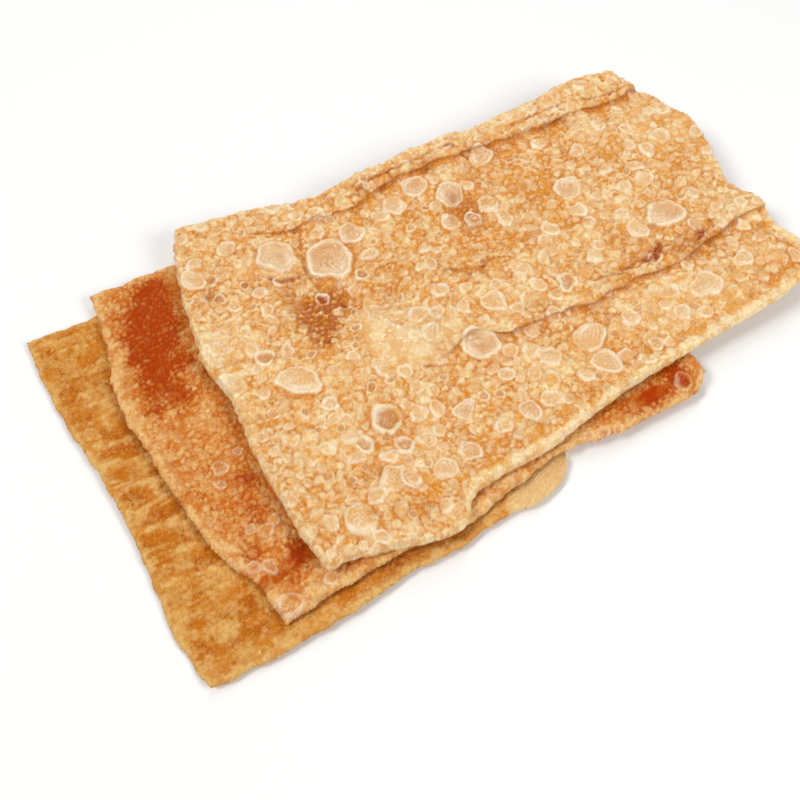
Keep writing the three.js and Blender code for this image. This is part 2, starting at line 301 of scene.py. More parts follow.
# Blisters that stand out of the rest: x, y, radius, kind. A dome is whole, a dimpled one and a
# window have sunk in the middle, a crater has burst, and a film is a crater under a clear skin.
TOP_BLISTERS = [
    (-15.8, 47.8, 7.2, "film"), (0.2, 37.8, 9.0, "film"), (-44.4, 54.6, 4.4, "window"),
    (-40.5, 42.1, 2.4, "crater"), (11.5, 43.9, 4.8, "film"), (11.8, 1.2, 4.0, "window"),
    (29.9, 44.9, 4.4, "window"), (40.8, 48.7, 5.0, "film"), (49.9, 37.9, 5.6, "film"),
    (69.3, 47.3, 4.8, "window"), (43, 28.3, 3.8, "window"), (50.2, 25, 3.1, "window"),
    (58.4, 26.4, 4.2, "dimpled"), (60.5, 19.5, 3.6, "window"), (86.5, 18.2, 5.4, "film"),
    (109, -9.4, 7, "film"), (131.9, 20.2, 4, "window"), (123.3, 17.9, 3.3, "dimpled"),
    (112.6, 7.2, 3.6, "window"), (84.6, 8.2, 3.4, "window"), (96.4, -9.5, 3.8, "window"),
    (22.9, -19.1, 6.4, "film"), (35.7, -8.3, 4.6, "window"), (44, -10.3, 2.3, "dome"),
    (53, -9.8, 3.2, "window"), (62.3, -14.3, 4, "crater"), (55.4, -16.8, 2.8, "dimpled"),
    (54.1, -36.2, 5.8, "window"), (54, -47.1, 5.2, "window"), (39.4, -35.3, 4.1, "window"),
    (35, -30.5, 3.1, "dimpled"), (33.9, -42.8, 3.8, "dome"), (21.6, -48.4, 4, "film"),
    (-17.2, -27, 5.6, "crater"), (-17.8, -37.2, 3.7, "crater"), (-28.5, -30.7, 3.6, "crater"),
    (-8.1, -30.5, 3.1, "dimpled"), (-2.1, -32.1, 3.1, "window"), (4.7, -36.8, 3.6, "film"),
    (-27, -46.1, 4.8, "dimpled"), (-21.9, -48.1, 3.4, "window"), (-34.5, -47.8, 3.4, "dimpled"),
    (-42.8, -52.8, 5.4, "dimpled"), (-11.9, -50.5, 3.9, "window"), (-2.2, -49.5, 3.9, "window"),
    (-52.4, 9.3, 4.8, "window"), (-38.6, 13.7, 3.6, "crater"), (-11.1, 24.5, 3.0, "crater"),
    (-30.5, 43.3, 1.8, "crater"), (101.3, -40.5, 5.7, "window"), (107.7, -49.5, 4.2, "dome"),
    (-28.4, 60.4, 3.4, "window"), (-6.4, 68.4, 3.4, "dimpled"), (11, -7.8, 3.4, "window"),
    (17, -1.8, 3.2, "window"), (23.6, 5.4, 3.2, "dimpled"), (5.6, 26.4, 2.6, "crater"),
    (-50.4, 24.4, 3.2, "dimpled"), (71.6, 7.4, 3.2, "window"), (77, -10.8, 3.4, "dimpled"),
    (118.5, -39.1, 3.6, "window"), (86.5, -45.1, 3.2, "window"), (70.5, -37.1, 3.4, "window"),
    (123, -6.8, 3.2, "dimpled"),
]
OVAL_BLISTER = {"x": -34, "y": 0.2, "radius": 7.9, "stretch": 1.5, "turn": -0.52, "height": 0.75}
# Amber hollows where the skin fried thin, and pale rises: x, y, radius, strength.
TOP_AMBER = [
    (-16, 20, 9, 1.3), (-6, 22, 8, 0.7), (-18, 9, 6, 0.8), (-20, 33, 5, 0.6), (24, 50, 7, 0.5),
    (50, 24, 12, 0.6), (50, 33, 8, 0.5), (76, 47, 7, 0.6), (76, 22, 9, 0.5), (103, 24, 8, 0.5),
    (90, -18, 8, 0.6), (102, -24, 8, 0.6), (45, -27, 7, 0.6), (64, -30, 7, 0.5), (-18, -29, 6, 0.4),
    (-23, -59, 5, 0.7), (112, -26, 8, 0.4), (0, -45, 7, 0.4), (12, 22, 8, 0.5), (36, 6, 7, 0.5),
    (-42, 52, 5, 0.5), (-30, 42, 4, 0.6), (66, -47, 9, 0.5), (120, -30, 9, 0.5), (-33, -40, 7, 0.3),
    (24, -26, 6, 0.5), (23, 58, 4, 0.8), (36.4, 57.3, 4, 0.8), (49, 53.4, 4, 0.7), (128, 6, 7, 0.4),
    (92, 34, 8, 0.4), (60, 40, 5, 0.4), (-46, 6, 4, 0.5), (4, -30, 6, 0.3),
]
TOP_LIGHT = [
    (-50, 26, 10, 0.7), (-50, 12, 8, 0.6), (8, -6, 9, 0.4), (38, -42, 9, 0.4), (104, -52, 12, 0.6),
    (-40, -62, 8, 0.3), (-15, 45, 7, 0.3), (128, 28, 9, 0.4), (100, 2, 10, 0.4), (-30, -20, 9, 0.35),
    (-48, -25, 8, 0.4), (46, -8, 7, 0.4), (30, -14, 6, 0.3), (-5, -22, 8, 0.35), (90, 12, 8, 0.3),
    (-10, -62, 9, 0.5), (70, -56, 12, 0.3), (110, 40, 9, 0.2), (72, -41, 12, 0.5), (92, -38, 10, 0.35),
    (120, -38, 12, 0.35), (136, 0, 7, 0.5), (131, -15, 6, 0.5), (138, 20, 6, 0.4),
]
# Wrinkles of the top sheet: path, half width, height and how far they scorched.
TOP_WRINKLES = [
    ([(-23.2, 49.3), (-22.1, 42), (-23.2, 35.1), (-24.8, 25.3), (-27, 16)], 1.8, 0.8, 0),
    ([(-36.8, 50.8), (-41.6, 48.8), (-44.5, 44.6), (-45.2, 38.8), (-44.1, 35.2)], 0.9, 0.9, 0),
    ([(-3.1, 53.6), (-7.6, 45.7), (-9.8, 38.1), (-10.4, 32.6), (-8.9, 29.6)], 0.8, -0.8, 0.4),
    ([(-22.3, 41.6), (-20.3, 38.3), (-16.2, 36.9)], 1.0, -0.6, 0.8),
    ([(-58, 18), (-47.1, 17.6), (-39.8, 14.3), (-28.6, 8.2)], 1.2, -0.7, 0.1),
    ([(-58, -4.5), (-48, -6.1), (-40.8, -7.2)], 1.0, -0.5, 0.1),
    ([
        (-10.3, 10.9), (-5.4, 14.6), (1, 13.5), (8, 9), (15, 6.5), (16.9, 2), (16.1, -1), (11.3, -8.9),
    ], 0.5, 0.6, 0),
    ([(-0.3, 11.5), (0.8, 6.9), (3.8, -0.7), (4.8, -6.9), (9, -13.4)], 0.5, 0.45, 0),
    ([(1, -14), (5.1, -16.6), (10.2, -19.4), (14.8, -22.3)], 0.5, 0.15, 0),
    ([(3, -16.6), (7.3, -19.4), (13.9, -22.8)], 0.35, -0.1, 0.7),
    ([(-17.3, 63.7), (-5.2, 58.8), (5, 55.6)], 0.9, 0.8, 0),
    ([(-16.8, 61.2), (-9, 57.3), (-0.3, 53.5)], 0.6, -0.6, 0.35),
    ([(94.2, 61.6), (103.9, 61.6), (115.3, 61.8)], 0.7, -0.8, 0.9),
    ([(87, 53.6), (99, 52.9), (109.9, 51.8), (123.8, 47.2), (139.4, 46.2)], 0.6, -0.35, 0.6),
    ([(28, 58.6), (40.4, 58.6), (62.5, 56.2)], 0.7, -0.6, 0.6),
    ([(80, -20), (88, -20.6), (93, -23.2)], 1.1, -0.7, 1.2),
    ([(98.5, -18.5), (95.5, -21.5), (92, -24)], 1.1, -0.8, 1.3),
    ([(119, -21), (115, -23), (109, -25)], 0.9, -0.7, 1.2),
    ([(72, -19), (79, -21.5)], 0.7, -0.5, 0.7),
    ([(100, -22), (108, -21.5), (116, -19.5)], 1.0, 0.6, 0),
    ([(31.6, 10.4), (39.6, 5.4), (45.6, 7.4)], 0.9, -0.5, 0.9),
    ([(41, 13.5), (61, 9.5), (85, 3.5)], 1.4, -0.35, 0),
]
MIDDLE_BLISTERS = [
    (-67, -38, 2.7, "dimpled"), (-63, -40.6, 2.4, "dome"), (-63.6, -36.2, 2.2, "dimpled"),
    (-68.2, -42, 1.9, "dome"), (-72.8, -62, 4.2, "window"), (-64.8, -62.4, 3.6, "dome"),
    (-58, -61.5, 2.6, "dimpled"), (-68.6, -12, 2.4, "film"), (-71.4, -17, 2.0, "film"),
    (-61.5, -9.5, 1.9, "film"), (-70.8, -35.8, 1.8, "film"), (-74, -42.3, 2.0, "dome"),
    (-70, -42, 1.6, "dome"), (-75.4, -46.4, 2.2, "film"), (-71.2, -48.6, 2.4, "film"),
    (72.4, -64.2, 3.4, "crater"), (78.3, -66.2, 2.2, "dome"), (33.2, -64.2, 2.0, "film"),
    (38.2, -65.2, 2.2, "film"), (42.6, -67.2, 1.9, "film"), (29, -63.4, 1.8, "dimpled"),
    (46.4, -67.4, 1.7, "dome"), (50.4, -67.2, 1.6, "dimpled"), (0.5, -65.2, 2.6, "dome"),
    (6, -64, 2.3, "window"), (-4, -66, 2.4, "window"), (-68.8, 30.2, 1.5, "window"),
    (-59.4, 26.5, 2.0, "window"),
]
MIDDLE_DARK = [
    (-66, 50, 8, 1.3), (-68, 38, 7, 1.3), (-60, 44, 7, 1.1), (-71, 27, 7, 1.1), (-66, 19, 5, 0.7),
    (-76, 17, 4, 0.6), (-60, 30, 4, 0.7), (-57, 54, 6, 0.9), (-60, 60, 6, 0.9), (-55, 63, 4, 0.7),
    (-73, 38, 4, 0.7), (-56, 22, 3.5, 0.4), (60, -62.5, 5, 0.9), (50, -61, 5, 0.8), (73, -58.8, 5, 0.6),
    (-64, -20, 4, 0.7), (-68, -28, 5, 0.5), (-66, -33, 4, 0.5), (-61, -49, 5, 0.7), (-73, -43, 3.5, 0.8),
    (-66, -54, 4, 0.5), (70, -60, 6, 0.6), (-52, -60, 5, 0.5), (-40, -62, 6, 0.35),
]
BOTTOM_SHADE = [
    (-92, 42, 9, 0.6), (-96, 30, 6, 0.3), (-81, -54, 4, 0.9), (-89.4, -10.2, 4, 0.6), (-88, -12, 9, 0.3),
    (-88, -36, 7, 0.5), (-86, -24, 6, 0.5), (-86, 16, 7, 0.3), (-84, 34, 5, 0.4), (-78, -62, 5, 0.4),
    (-60, -67, 9, 0.7), (-40, -66.5, 10, 0.8), (-22, -67.5, 9, 0.7), (-6, -68, 7, 0.4), (-92, -58, 6, 0.2),
]
# Creases that scorched: x, y, radius, strength.
BOTTOM_SCORCHED = [(-81, -54.5, 2.2, 1.0)]
TOP_SCORCHED = [
    (84, -20.5, 3.0, 0.6), (94, -21, 3.2, 0.6), (113, -22.5, 3.0, 0.5), (68, -24, 3, 0.4),
    (36, 5, 2.6, 0.6), (132, 44, 4, 0.5), (104, 45.5, 4, 0.4), (66, 50, 4, 0.5), (50, 51, 4, 0.5),
    (-44, 46, 2.5, 0.5), (-14, 37, 2.5, 0.6), (128, -23, 3, 0.4), (139, 44.6, 2, 1.5), (-32, 10, 2.5, 0.5),
    (30, 12, 2.5, 0.4), (-22, 36, 3, 0.5), (-42, 44, 3, 0.4),
]
MIDDLE_LIGHT = [
    (-74, 3, 8, 0.4), (-77, -8, 6, 0.4), (-65, -39, 5, 0.7), (-73, -62, 6, 0.7), (-60, -62, 7, 0.5),
    (-64, 8, 6, 0.3), (2, -65, 9, 1.0), (-8, -66, 6, 0.6), (22, -65, 9, 0.6), (38, -66, 5, 0.9),
    (56, -68.5, 4, 0.7), (-80, 40, 5, 0.4),
]


# ---- Settings ----


class TofuSkinSizes(bpy.types.PropertyGroup):
    """Sizes that a user would change."""

    spacing: FloatProperty(
        name="Mesh Spacing", description="Distance between the rows of a sheet's upper face",
        default=0.36, min=0.3, max=3.0,
    )
    blister_height: FloatProperty(
        name="Blister Height", description="Height of a blister as a share of its radius",
        default=0.4, subtype="FACTOR", min=0.1, max=0.6,
    )
    smallest_blister: FloatProperty(
        name="Smallest Blister", description="Radius in millimetres of the smallest modelled blister",
        default=0.65, min=0.5, max=3.0,
    )
    seed: IntProperty(name="Seed", description="Start of the random draws", default=7)


def colour_setting(name, description, hex_colour):
    return FloatVectorProperty(
        name=name, description=description, subtype="COLOR", size=3, default=srgb(hex_colour), min=0, max=1
    )


class TofuSkinColours(bpy.types.PropertyGroup):
    """Colours of the fried skin."""

    # Besides the skin's own colours, cream also carries painted light, and amber and scorched carry painted
    # shade, where the tints call for them.
    golden: colour_setting("Golden", "Even colour of the top sheet", "#eaa748")
    cream: colour_setting("Cream", "Blister rims and raised skin", "#fce8ae")
    amber: colour_setting("Amber", "Valleys where the oil stood", "#cf7808")
    scorched: colour_setting("Scorched", "Creases and pinched wrinkles", "#a84c06")
    russet: colour_setting("Russet", "Dark parts of the middle sheet", "#ac3a00")
    straw: colour_setting("Straw", "Even colour of the bottom sheet", "#cc7b0a")


class TofuSkinStudio(bpy.types.PropertyGroup):
    """Camera and light."""

    azimuth: FloatProperty(
        name="Azimuth", description="Camera's turn about Z from the front", default=math.radians(-32.951),
        subtype="ANGLE",
    )
    elevation: FloatProperty(
        name="Elevation", description="Camera's angle above the table", default=math.radians(58.593),
        subtype="ANGLE",
    )
    roll: FloatProperty(
        name="Roll", description="Camera's turn about its own line of sight", default=math.radians(0.547),
        subtype="ANGLE",
    )
    distance: FloatProperty(
        name="Distance", description="Camera to the point that it looks at", default=0.3258,
        subtype="DISTANCE", unit="LENGTH",
    )
    target: FloatVectorProperty(
        name="Target", description="Point on the table that the camera looks at", size=2,
        default=(-0.02961, -0.02149), subtype="XYZ",
    )
    lens: FloatProperty(
        name="Lens", description="Focal length in millimetres", default=45.0, min=10, max=200,
    )
    key_power: FloatProperty(
        name="Key Light", description="Power of the large light", default=9.7, subtype="POWER",
    )
    sky: FloatProperty(
        name="Sky", description="Strength of the even light all round", default=0.27, min=0,
    )


# ---- A sheet's outline and grid ----

CURVE_STEPS = 120
# Teeth of a ragged edge: height, length along the edge in mm, and row of the pattern.
EDGE_TEETH = ((0.65, 6, 7), (0.4, 2.4, 5), (0.3, 1.1, 3))
EDGE_DEPTH = 4.5


def side_curve(start, points, end):
    """A smooth curve through a side's points: its places, and the share of the way to each."""
    knots = np.array([start, *points, end], float)
    padded = np.vstack([2 * knots[0] - knots[1], knots, 2 * knots[-1] - knots[-2]])
    t = np.linspace(0, 1, CURVE_STEPS, endpoint=False)[:, None]
    parts = []
    for i in range(len(knots) - 1):
        before, here, there, after = padded[i : i + 4]
        ends = ((before, here), (here, there), (there, after))
        d0, d1, d2 = (math.sqrt(math.dist(a, b)) for a, b in ends)
        leave = ((here - before) / d0 - (there - before) / (d0 + d1) + (there - here) / d1) * d1
        arrive = ((there - here) / d1 - (after - here) / (d1 + d2) + (after - there) / d2) * d1
        square = -3 * here + 3 * there - 2 * leave - arrive
        cube = 2 * here - 2 * there + leave + arrive
        parts.append(here + leave * t + square * t**2 + cube * t**3)
    path = np.vstack([*parts, knots[-1:]])
    travelled = np.r_[0, np.cumsum(np.hypot(*np.diff(path, axis=0).T))]
    return path, travelled / travelled[-1], travelled[-1]


def curve_at(curve, share):
    path, travelled, _ = curve
    return np.stack([np.interp(share, travelled, path[:, axis]) for axis in (0, 1)], -1)


def sides_of(sheet):
    return {
        "front": side_curve(sheet.front_left, sheet.front, sheet.front_right),
        "right": side_curve(sheet.front_right, sheet.right, sheet.back_right),
        "back": side_curve(sheet.back_left, sheet.back, sheet.back_right),
        "left": side_curve(sheet.front_left, sheet.left, sheet.back_left),
    }


def place_on(sides, u, v):
    """Places at u along and v from front to back, blended from the four sides."""
    front, back = curve_at(sides["front"], u), curve_at(sides["back"], u)
    left, right = curve_at(sides["left"], v), curve_at(sides["right"], v)
    u, v = u[..., None], v[..., None]
    near = sides["front"][0][0] * (1 - u) + sides["front"][0][-1] * u
    far = sides["back"][0][0] * (1 - u) + sides["back"][0][-1] * u
    return front * (1 - v) + back * v + left * (1 - u) + right * u - near * (1 - v) - far * v


def graded_cuts(length, spacing, crowded):
    """Cuts 0 to 1 into parts about `spacing` long that crowd round each (place, half width,
    spacing there). The number of parts is a multiple of three."""
    s = np.linspace(0, 1, 4001)
    density = np.full_like(s, 1 / spacing)
    for place, half_width, tight in crowded:
        density += (1 / tight - 1 / spacing) * bell((s - place) * length, half_width)
    total = np.r_[0, np.cumsum((density[1:] + density[:-1]) / 2 * np.diff(s) * length)]
    parts = 3 * round(total[-1] / 3)
    return np.interp(np.linspace(0, total[-1], parts + 1), total, s)


def grid_cuts(sides, spacing, rows, columns):
    """The cuts for a sheet's rows and columns. Each is given as its even spacing and the places
    where it crowds, with every spacing as a multiple of the mesh spacing."""
    cuts = []
    for side, (even, crowded) in (("left", rows), ("front", columns)):
        crowded = [(place, half_width, spacing * tight) for place, half_width, tight in crowded]
        cuts.append(graded_cuts(sides[side][2], spacing * even, crowded))
    return cuts


def follow_lines(sheet, sides, u, row):
    """Rows of a folded sheet follow its lines: the v that each row has at each u."""
    if not sheet.lines:
        return row
    start = place_on(sides, u, np.zeros_like(u))[..., 1]
    end = place_on(sides, u, np.ones_like(u))[..., 1]
    knots = [(0.0, np.zeros_like(u))]
    for line_row, points in sheet.lines:
        x = place_on(sides, u, np.full_like(u, line_row))[..., 0]
        knots.append((line_row, (line_at(points, x) - start) / (end - start)))
    knots.append((1.0, np.ones_like(u)))
    v = np.zeros_like(row)
    for (row0, v0), (row1, v1) in zip(knots, knots[1:]):
        inside = (row >= row0) & (row <= row1)
        v = np.where(inside, v0 + (v1 - v0) * (row - row0) / (row1 - row0), v)
    return v


def ragged_edge(sheet, sides, u, v, place):
    """Moves the grid's edge in and out as the fried edge is, less and less towards the inside."""
    length, width = sides["front"][2], sides["left"][2]
    moved = place.copy()
    for axis, share, along, span in ((0, u, v * width, length), (1, v, u * length, width)):
        for side, sign, at in ((0, -1, share), (1, 1, 1 - share)):
            shape = sum(
                height * ripple(along, size, sheet.seed + k, side * row)
                for k, (height, size, row) in enumerate(EDGE_TEETH)
            )
            amount = sheet.ragged * shape * bell(at * span, EDGE_DEPTH)
            if sheet is TOP and axis == 1 and side == 0:
                amount = amount * (1 - 0.5 * share_along(FRONT_ROLL, place[..., 0]))
            moved[..., axis] += sign * amount
    return moved


# ---- Form of each sheet ----


def rest_height(rest, x, y):
    """A sheet's height in the stack, with the long wave that all share and a finer one of its own."""
    wave = hills(x / SHARED_WAVE["length"] + 5, y / SHARED_WAVE["width"] + 5, SHARED_WAVE["seed"])
    wave = rest["shared_wave"] * wave
    if "own_wave" in rest:
        wave = wave + rest["own_wave"] * hills(x / rest["wave_length"], y / rest["wave_length"], rest["seed"])
    return rest["height"] + wave


def bottom_mid_height(x, y):
    trough = -FRONT_TROUGH["depth"] * bell(y - FRONT_TROUGH["y"], FRONT_TROUGH["half_width"])
    from_rim = np.minimum(0, FRONT_TROUGH["rim_y"] - y)
    rim = FRONT_TROUGH["rise"] * bell(from_rim, FRONT_TROUGH["rim_half_width"])
    edge = BOTTOM_EDGE["rise"] * share_along(BOTTOM_EDGE, x)
    return np.maximum(BOTTOM_REST["lowest"], rest_height(BOTTOM_REST, x, y) + trough + rim + edge)


def middle_mid_height(x, y):
    left_curl = MIDDLE_CURL["left"] * towards(MIDDLE_CURL["left_x"], MIDDLE_CURL["width"], x)
    front_curl = MIDDLE_CURL["front"] * towards(MIDDLE_CURL["front_y"], MIDDLE_CURL["width"], y)
    return rest_height(MIDDLE_REST, x, y) + left_curl + front_curl


def top_mid_height(x, y):
    left_lift = TOP_LEFT_END["lift"] * towards(TOP_LEFT_END["x"], TOP_LEFT_END["width"], x)
    right_lift = TOP_RIGHT_END["lift"] * share_along(TOP_RIGHT_END, x)
    along = smooth_step(FRONT_SAG["from_x"] - 10, FRONT_SAG["from_x"], x)
    along = along * smooth_step(FRONT_SAG["to_x"] + 3, FRONT_SAG["to_x"] - 6, x)
    sag = -FRONT_SAG["depth"] * along * towards(FRONT_SAG["front_y"], FRONT_SAG["width"], y)
    return rest_height(TOP_REST, x, y) + left_lift + right_lift + sag


def half_thickness(sheet, distance):
    inset = 1 - np.minimum(1, distance / sheet.rim)
    return sheet.thickness / 2 * np.sqrt(np.maximum(0, 1 - inset**2))


# ---- Blisters, drawn on a fine square map over the sheet ----

# Kinds of blister: how deep its middle has sunk as a share of its height, and how wide.
BLISTER_KINDS = {
    "dome": (0.0, 0.5), "dimpled": (0.3, 0.5), "window": (0.45, 0.7), "plate": (0.3, 0.78),
    "crater": (0.98, 0.55), "film": (0.8, 0.68),
}


class SkinMap:
    """Square maps over a sheet's plan: how high its upper skin stands, and what it is there."""

    STEP = 0.2

    def __init__(self, outline):
        self.low = outline.min(0) - 2
        count = np.ceil((outline.max(0) + 2 - self.low) / self.STEP).astype(int) + 1
        self.x, self.y = np.meshgrid(*(self.low[k] + np.arange(count[k]) * self.STEP for k in (0, 1)))
        drift_x, drift_y = bubble_drift(self.x, self.y)
        self.bent_x, self.bent_y = self.x + drift_x, self.y + drift_y
        self.inset = self._inset(outline)
        self.height, self.rims, self.shine, self.membrane, self.pit = np.zeros((5, *self.x.shape))
        self.room = self.inset.copy()
        self.films = []

    def _inset(self, outline):
        """Distance in from the outline, less than 0 outside it, worked out 1 mm apart."""
        skip = round(1 / self.STEP)
        x, y = self.x[::skip, ::skip], self.y[::skip, ::skip]
        distance = np.full(x.shape, 1e9)
        inside = np.zeros(x.shape, bool)
        for (ax, ay), (bx, by) in zip(outline, np.roll(outline, -1, axis=0)):
            distance = np.minimum(distance, (x - ax) ** 2 + (y - ay) ** 2)
            if ay != by:
                inside ^= ((ay > y) != (by > y)) & (x < (bx - ax) * (y - ay) / (by - ay) + ax)
        coarse = np.where(inside, 1, -1) * np.sqrt(distance)
        return self._bilinear(coarse, self.x - self.low[0], self.y - self.low[1])

    @staticmethod
    def _bilinear(grid, column, row):
        column = np.clip(column, 0, grid.shape[1] - 1.001)
        row = np.clip(row, 0, grid.shape[0] - 1.001)
        i, j = column.astype(int), row.astype(int)
        a, b = column - i, row - j
        near = grid[j, i] * (1 - a) + grid[j, i + 1] * a
        far = grid[j + 1, i] * (1 - a) + grid[j + 1, i + 1] * a
        return near * (1 - b) + far * b

    def sample(self, grid, x, y):
        return self._bilinear(grid, (x - self.low[0]) / self.STEP, (y - self.low[1]) / self.STEP)

    def samples(self, x, y, *names):
        """What the named maps say at the given places."""
        return (self.sample(getattr(self, name), x, y) for name in names)

    def window(self, x, y, reach):
        """The part of a map that lies within reach of a place."""
        j0, j1 = (int(round((y - self.low[1] + d) / self.STEP)) for d in (-reach, reach))
        i0, i1 = (int(round((x - self.low[0] + d) / self.STEP)) for d in (-reach, reach))
        return slice(max(0, j0), max(0, j1 + 1)), slice(max(0, i0), max(0, i1 + 1))

    def blurred(self, grid, radius):
        """The map with every place averaged over a square of about that radius, twice."""
        n = max(1, int(radius / self.STEP))
        for _ in range(2):
            for axis in (0, 1):
                edge = [(n + 1, n) if k == axis else (0, 0) for k in (0, 1)]
                total = np.cumsum(np.pad(grid, edge, mode="edge"), axis=axis)
                upper = np.take(total, range(2 * n + 1, total.shape[axis]), axis=axis)
                lower = np.take(total, range(0, total.shape[axis] - 2 * n - 1), axis=axis)
                grid = (upper - lower) / (2 * n + 1)
        return grid

    def add_blister(self, x, y, radius, kind, tall, rng, stretch=1.0, turn=0.0):
        """Draws one blister. `tall` is a dome's height as a share of its radius."""
        place = self.window(x, y, radius * 1.4 + 1.4)
        drift_x, drift_y = bubble_drift(x, y)
        dx, dy = self.bent_x[place] - x - drift_x, self.bent_y[place] - y - drift_y
        along, across = turned(dx, dy, turn)
        across = across * stretch
        angle = np.arctan2(across, along)
        phases = rng.uniform(0, 2 * math.pi, 3)
        rho = np.hypot(along, across) / (radius * lobed(angle, phases))
        sunk, bowl_width = BLISTER_KINDS[kind]
        bowl = smooth_step(bowl_width + 0.24, bowl_width - 0.2, rho)
        lean = 1 + 0.25 * rho * np.sin(angle + phases[2])
        shape = tall * radius * (np.clip(1 - rho**2, 0, 1) ** 0.6 * lean - sunk * bowl)
        if radius > 2.4 and sunk:
            # Creases of the slack film: arcs about a millimetre apart round its lowest point.
            low_x = dx - 0.3 * radius * math.cos(phases[0])
            low_y = dy - 0.3 * radius * math.sin(phases[0])
            wander = 1.8 * np.sin(2 * angle + phases[1]) + 1.2 * hills(dx / 1.6 + x, dy / 1.6 + y, 59)
            waves = np.sin(2 * math.pi * np.hypot(low_x, low_y) / 1.25 + wander)
            shape = shape + 0.13 * waves * bowl
        inside = rho < 1
        above = np.where(inside & (shape > self.height[place]), shape, self.height[place])
        self.height[place] = np.where((rho < bowl_width) & (sunk > 0), shape, above)
        # Nothing uses this draw. It only moves the random draws after it along.
        rng.uniform(0, 1)
        strength = rng.uniform(0.4, 1.0) * smooth_step(0.5, 2.0, radius) * (1.0 if sunk else 0.4)
        rim = bell((rho - 0.87) * radius, 0.25 + 0.06 * radius) * inside
        rim = rim * (0.6 + 0.4 * np.sin(angle + phases[0]))
        # On big sunk blisters, a bright crescent on one side and the crests of the film's creases are painted
        # pale. This is partly the film's colour and partly painted highlights.
        if sunk and radius > 2.8:
            facing = np.clip(np.cos(angle - phases[1]), 0, 1) ** 2
            rim = np.maximum(rim, facing * bell((rho - 0.6) * radius, 0.13 * radius))
            one_side = np.clip(0.35 + 0.65 * np.sin(angle + phases[2]), 0, 1)
            rim = np.maximum(rim, 0.6 * np.clip(waves, 0, 1) * bowl * one_side)
        self.rims[place] = np.maximum(self.rims[place] * (rho > bowl_width), strength * rim)
        # A painted highlight: glassy blisters get a bright ring, stronger on one side, which the rim tint
        # shows.
        glassy = smooth_step(1.2, 2.8, radius) * (1 if sunk else 0.4)
        ring = (0.45 + 0.45 * np.sin(angle + phases[2])) * bell((rho - 0.84) * radius, 0.3 + 0.03 * radius)
        shine = glassy * np.maximum(ring, 0.75 * rim) * inside
        self.shine[place] = np.where(inside, shine, self.shine[place])
        if sunk:
            self.membrane[place] = np.maximum(self.membrane[place], bowl * rng.uniform(0.5, 1.0))
        depth = {"crater": 1.0, "film": 0.7, "window": 0.35 * rng.uniform(0, 1)}.get(kind, 0)
        hole = smooth_step(0.6, 0.2, rho) if kind != "crater" else bowl
        self.pit[place] = np.maximum(self.pit[place] * (rho > bowl_width), depth * hole)
        self.room[place] = np.minimum(self.room[place], np.hypot(dx, dy) - radius)
        if kind == "film":
            self.films.append((x, y, radius, stretch, turn, phases))

    def fill(self, rng, sizes, tries, kinds, tall, allowed, crowd):
        """Throws blisters into the room that is left. A crowd under 1 lets them overlap."""
        low, high = sizes
        rows, columns = np.nonzero((self.room > low * crowd) & allowed)
        if not len(rows):
            return
        for pick in rng.integers(0, len(rows), tries):
            j, i = rows[pick], columns[pick]
            room = self.room[j, i]
            if room < low * crowd:
                continue
            radius = min(high, room / crowd, rng.uniform(low, high))
            x = self.x[j, i] + rng.uniform(-0.5, 0.5) * self.STEP
            y = self.y[j, i] + rng.uniform(-0.5, 0.5) * self.STEP
            kind = kinds[int(rng.integers(0, len(kinds)))]
            height = tall * rng.uniform(0.65, 1.25)
            stretch, turn = rng.uniform(0.85, 1.25), rng.uniform(0, math.pi)
            self.add_blister(x, y, radius, kind, height, rng, stretch, turn)


def outline_of(sides):
    share = np.linspace(0, 1, 160, endpoint=False)
    front, right = curve_at(sides["front"], share), curve_at(sides["right"], share)
    back, left = curve_at(sides["back"], 1 - share), curve_at(sides["left"], 1 - share)
    return np.vstack([front, right, back, left])


def distance_to_path(x, y, points):
    return np.min([distance_to_segment(x, y, a, b) for a, b in zip(points, points[1:])], axis=0)


def patches_at(x, y, patches):
    """Sum of soft round patches, each x, y, radius, strength."""
    total = np.zeros_like(x)
    for px, py, radius, strength in patches:
        total = total + strength * bell(np.hypot(x - px, y - py), radius)
    return total


def long_blister_at(x, y):
    """The long blister's share of its own height, with two slopes that meet in a crest, and which
    places lie on its front slope and which behind the crest."""
    along, across = turned(x - LONG_BLISTER["x"], y - LONG_BLISTER["y"], LONG_BLISTER["turn"])
    along = along / LONG_BLISTER["length"]
    width = LONG_BLISTER["width"]
    crest = LONG_BLISTER["crest"] + LONG_BLISTER["crest_slope"] * along
    side = np.where(across > crest, (across - crest) / (width - crest), (crest - across) / (width + crest))
    rho = np.sqrt(along**2 + (across / width) ** 2)
    slope = np.clip(1 - side, 0, 1) ** 0.75 * np.clip(1 - along**2, 0, 1) ** 0.6
    before_crest, past_crest = crest - 0.7, crest + 1.1
    facet = smooth_step(1.0, 0.9, rho) * smooth_step(past_crest, before_crest, across)
    behind = smooth_step(1.0, 0.9, rho) * smooth_step(before_crest, past_crest, across)
    return slope * smooth_step(1.02, 0.6, rho), facet, behind


def drawn_blisters(skin, blisters, tall, rng):
    for x, y, radius, kind in blisters:
        skin.add_blister(x, y, radius, kind, tall, rng)


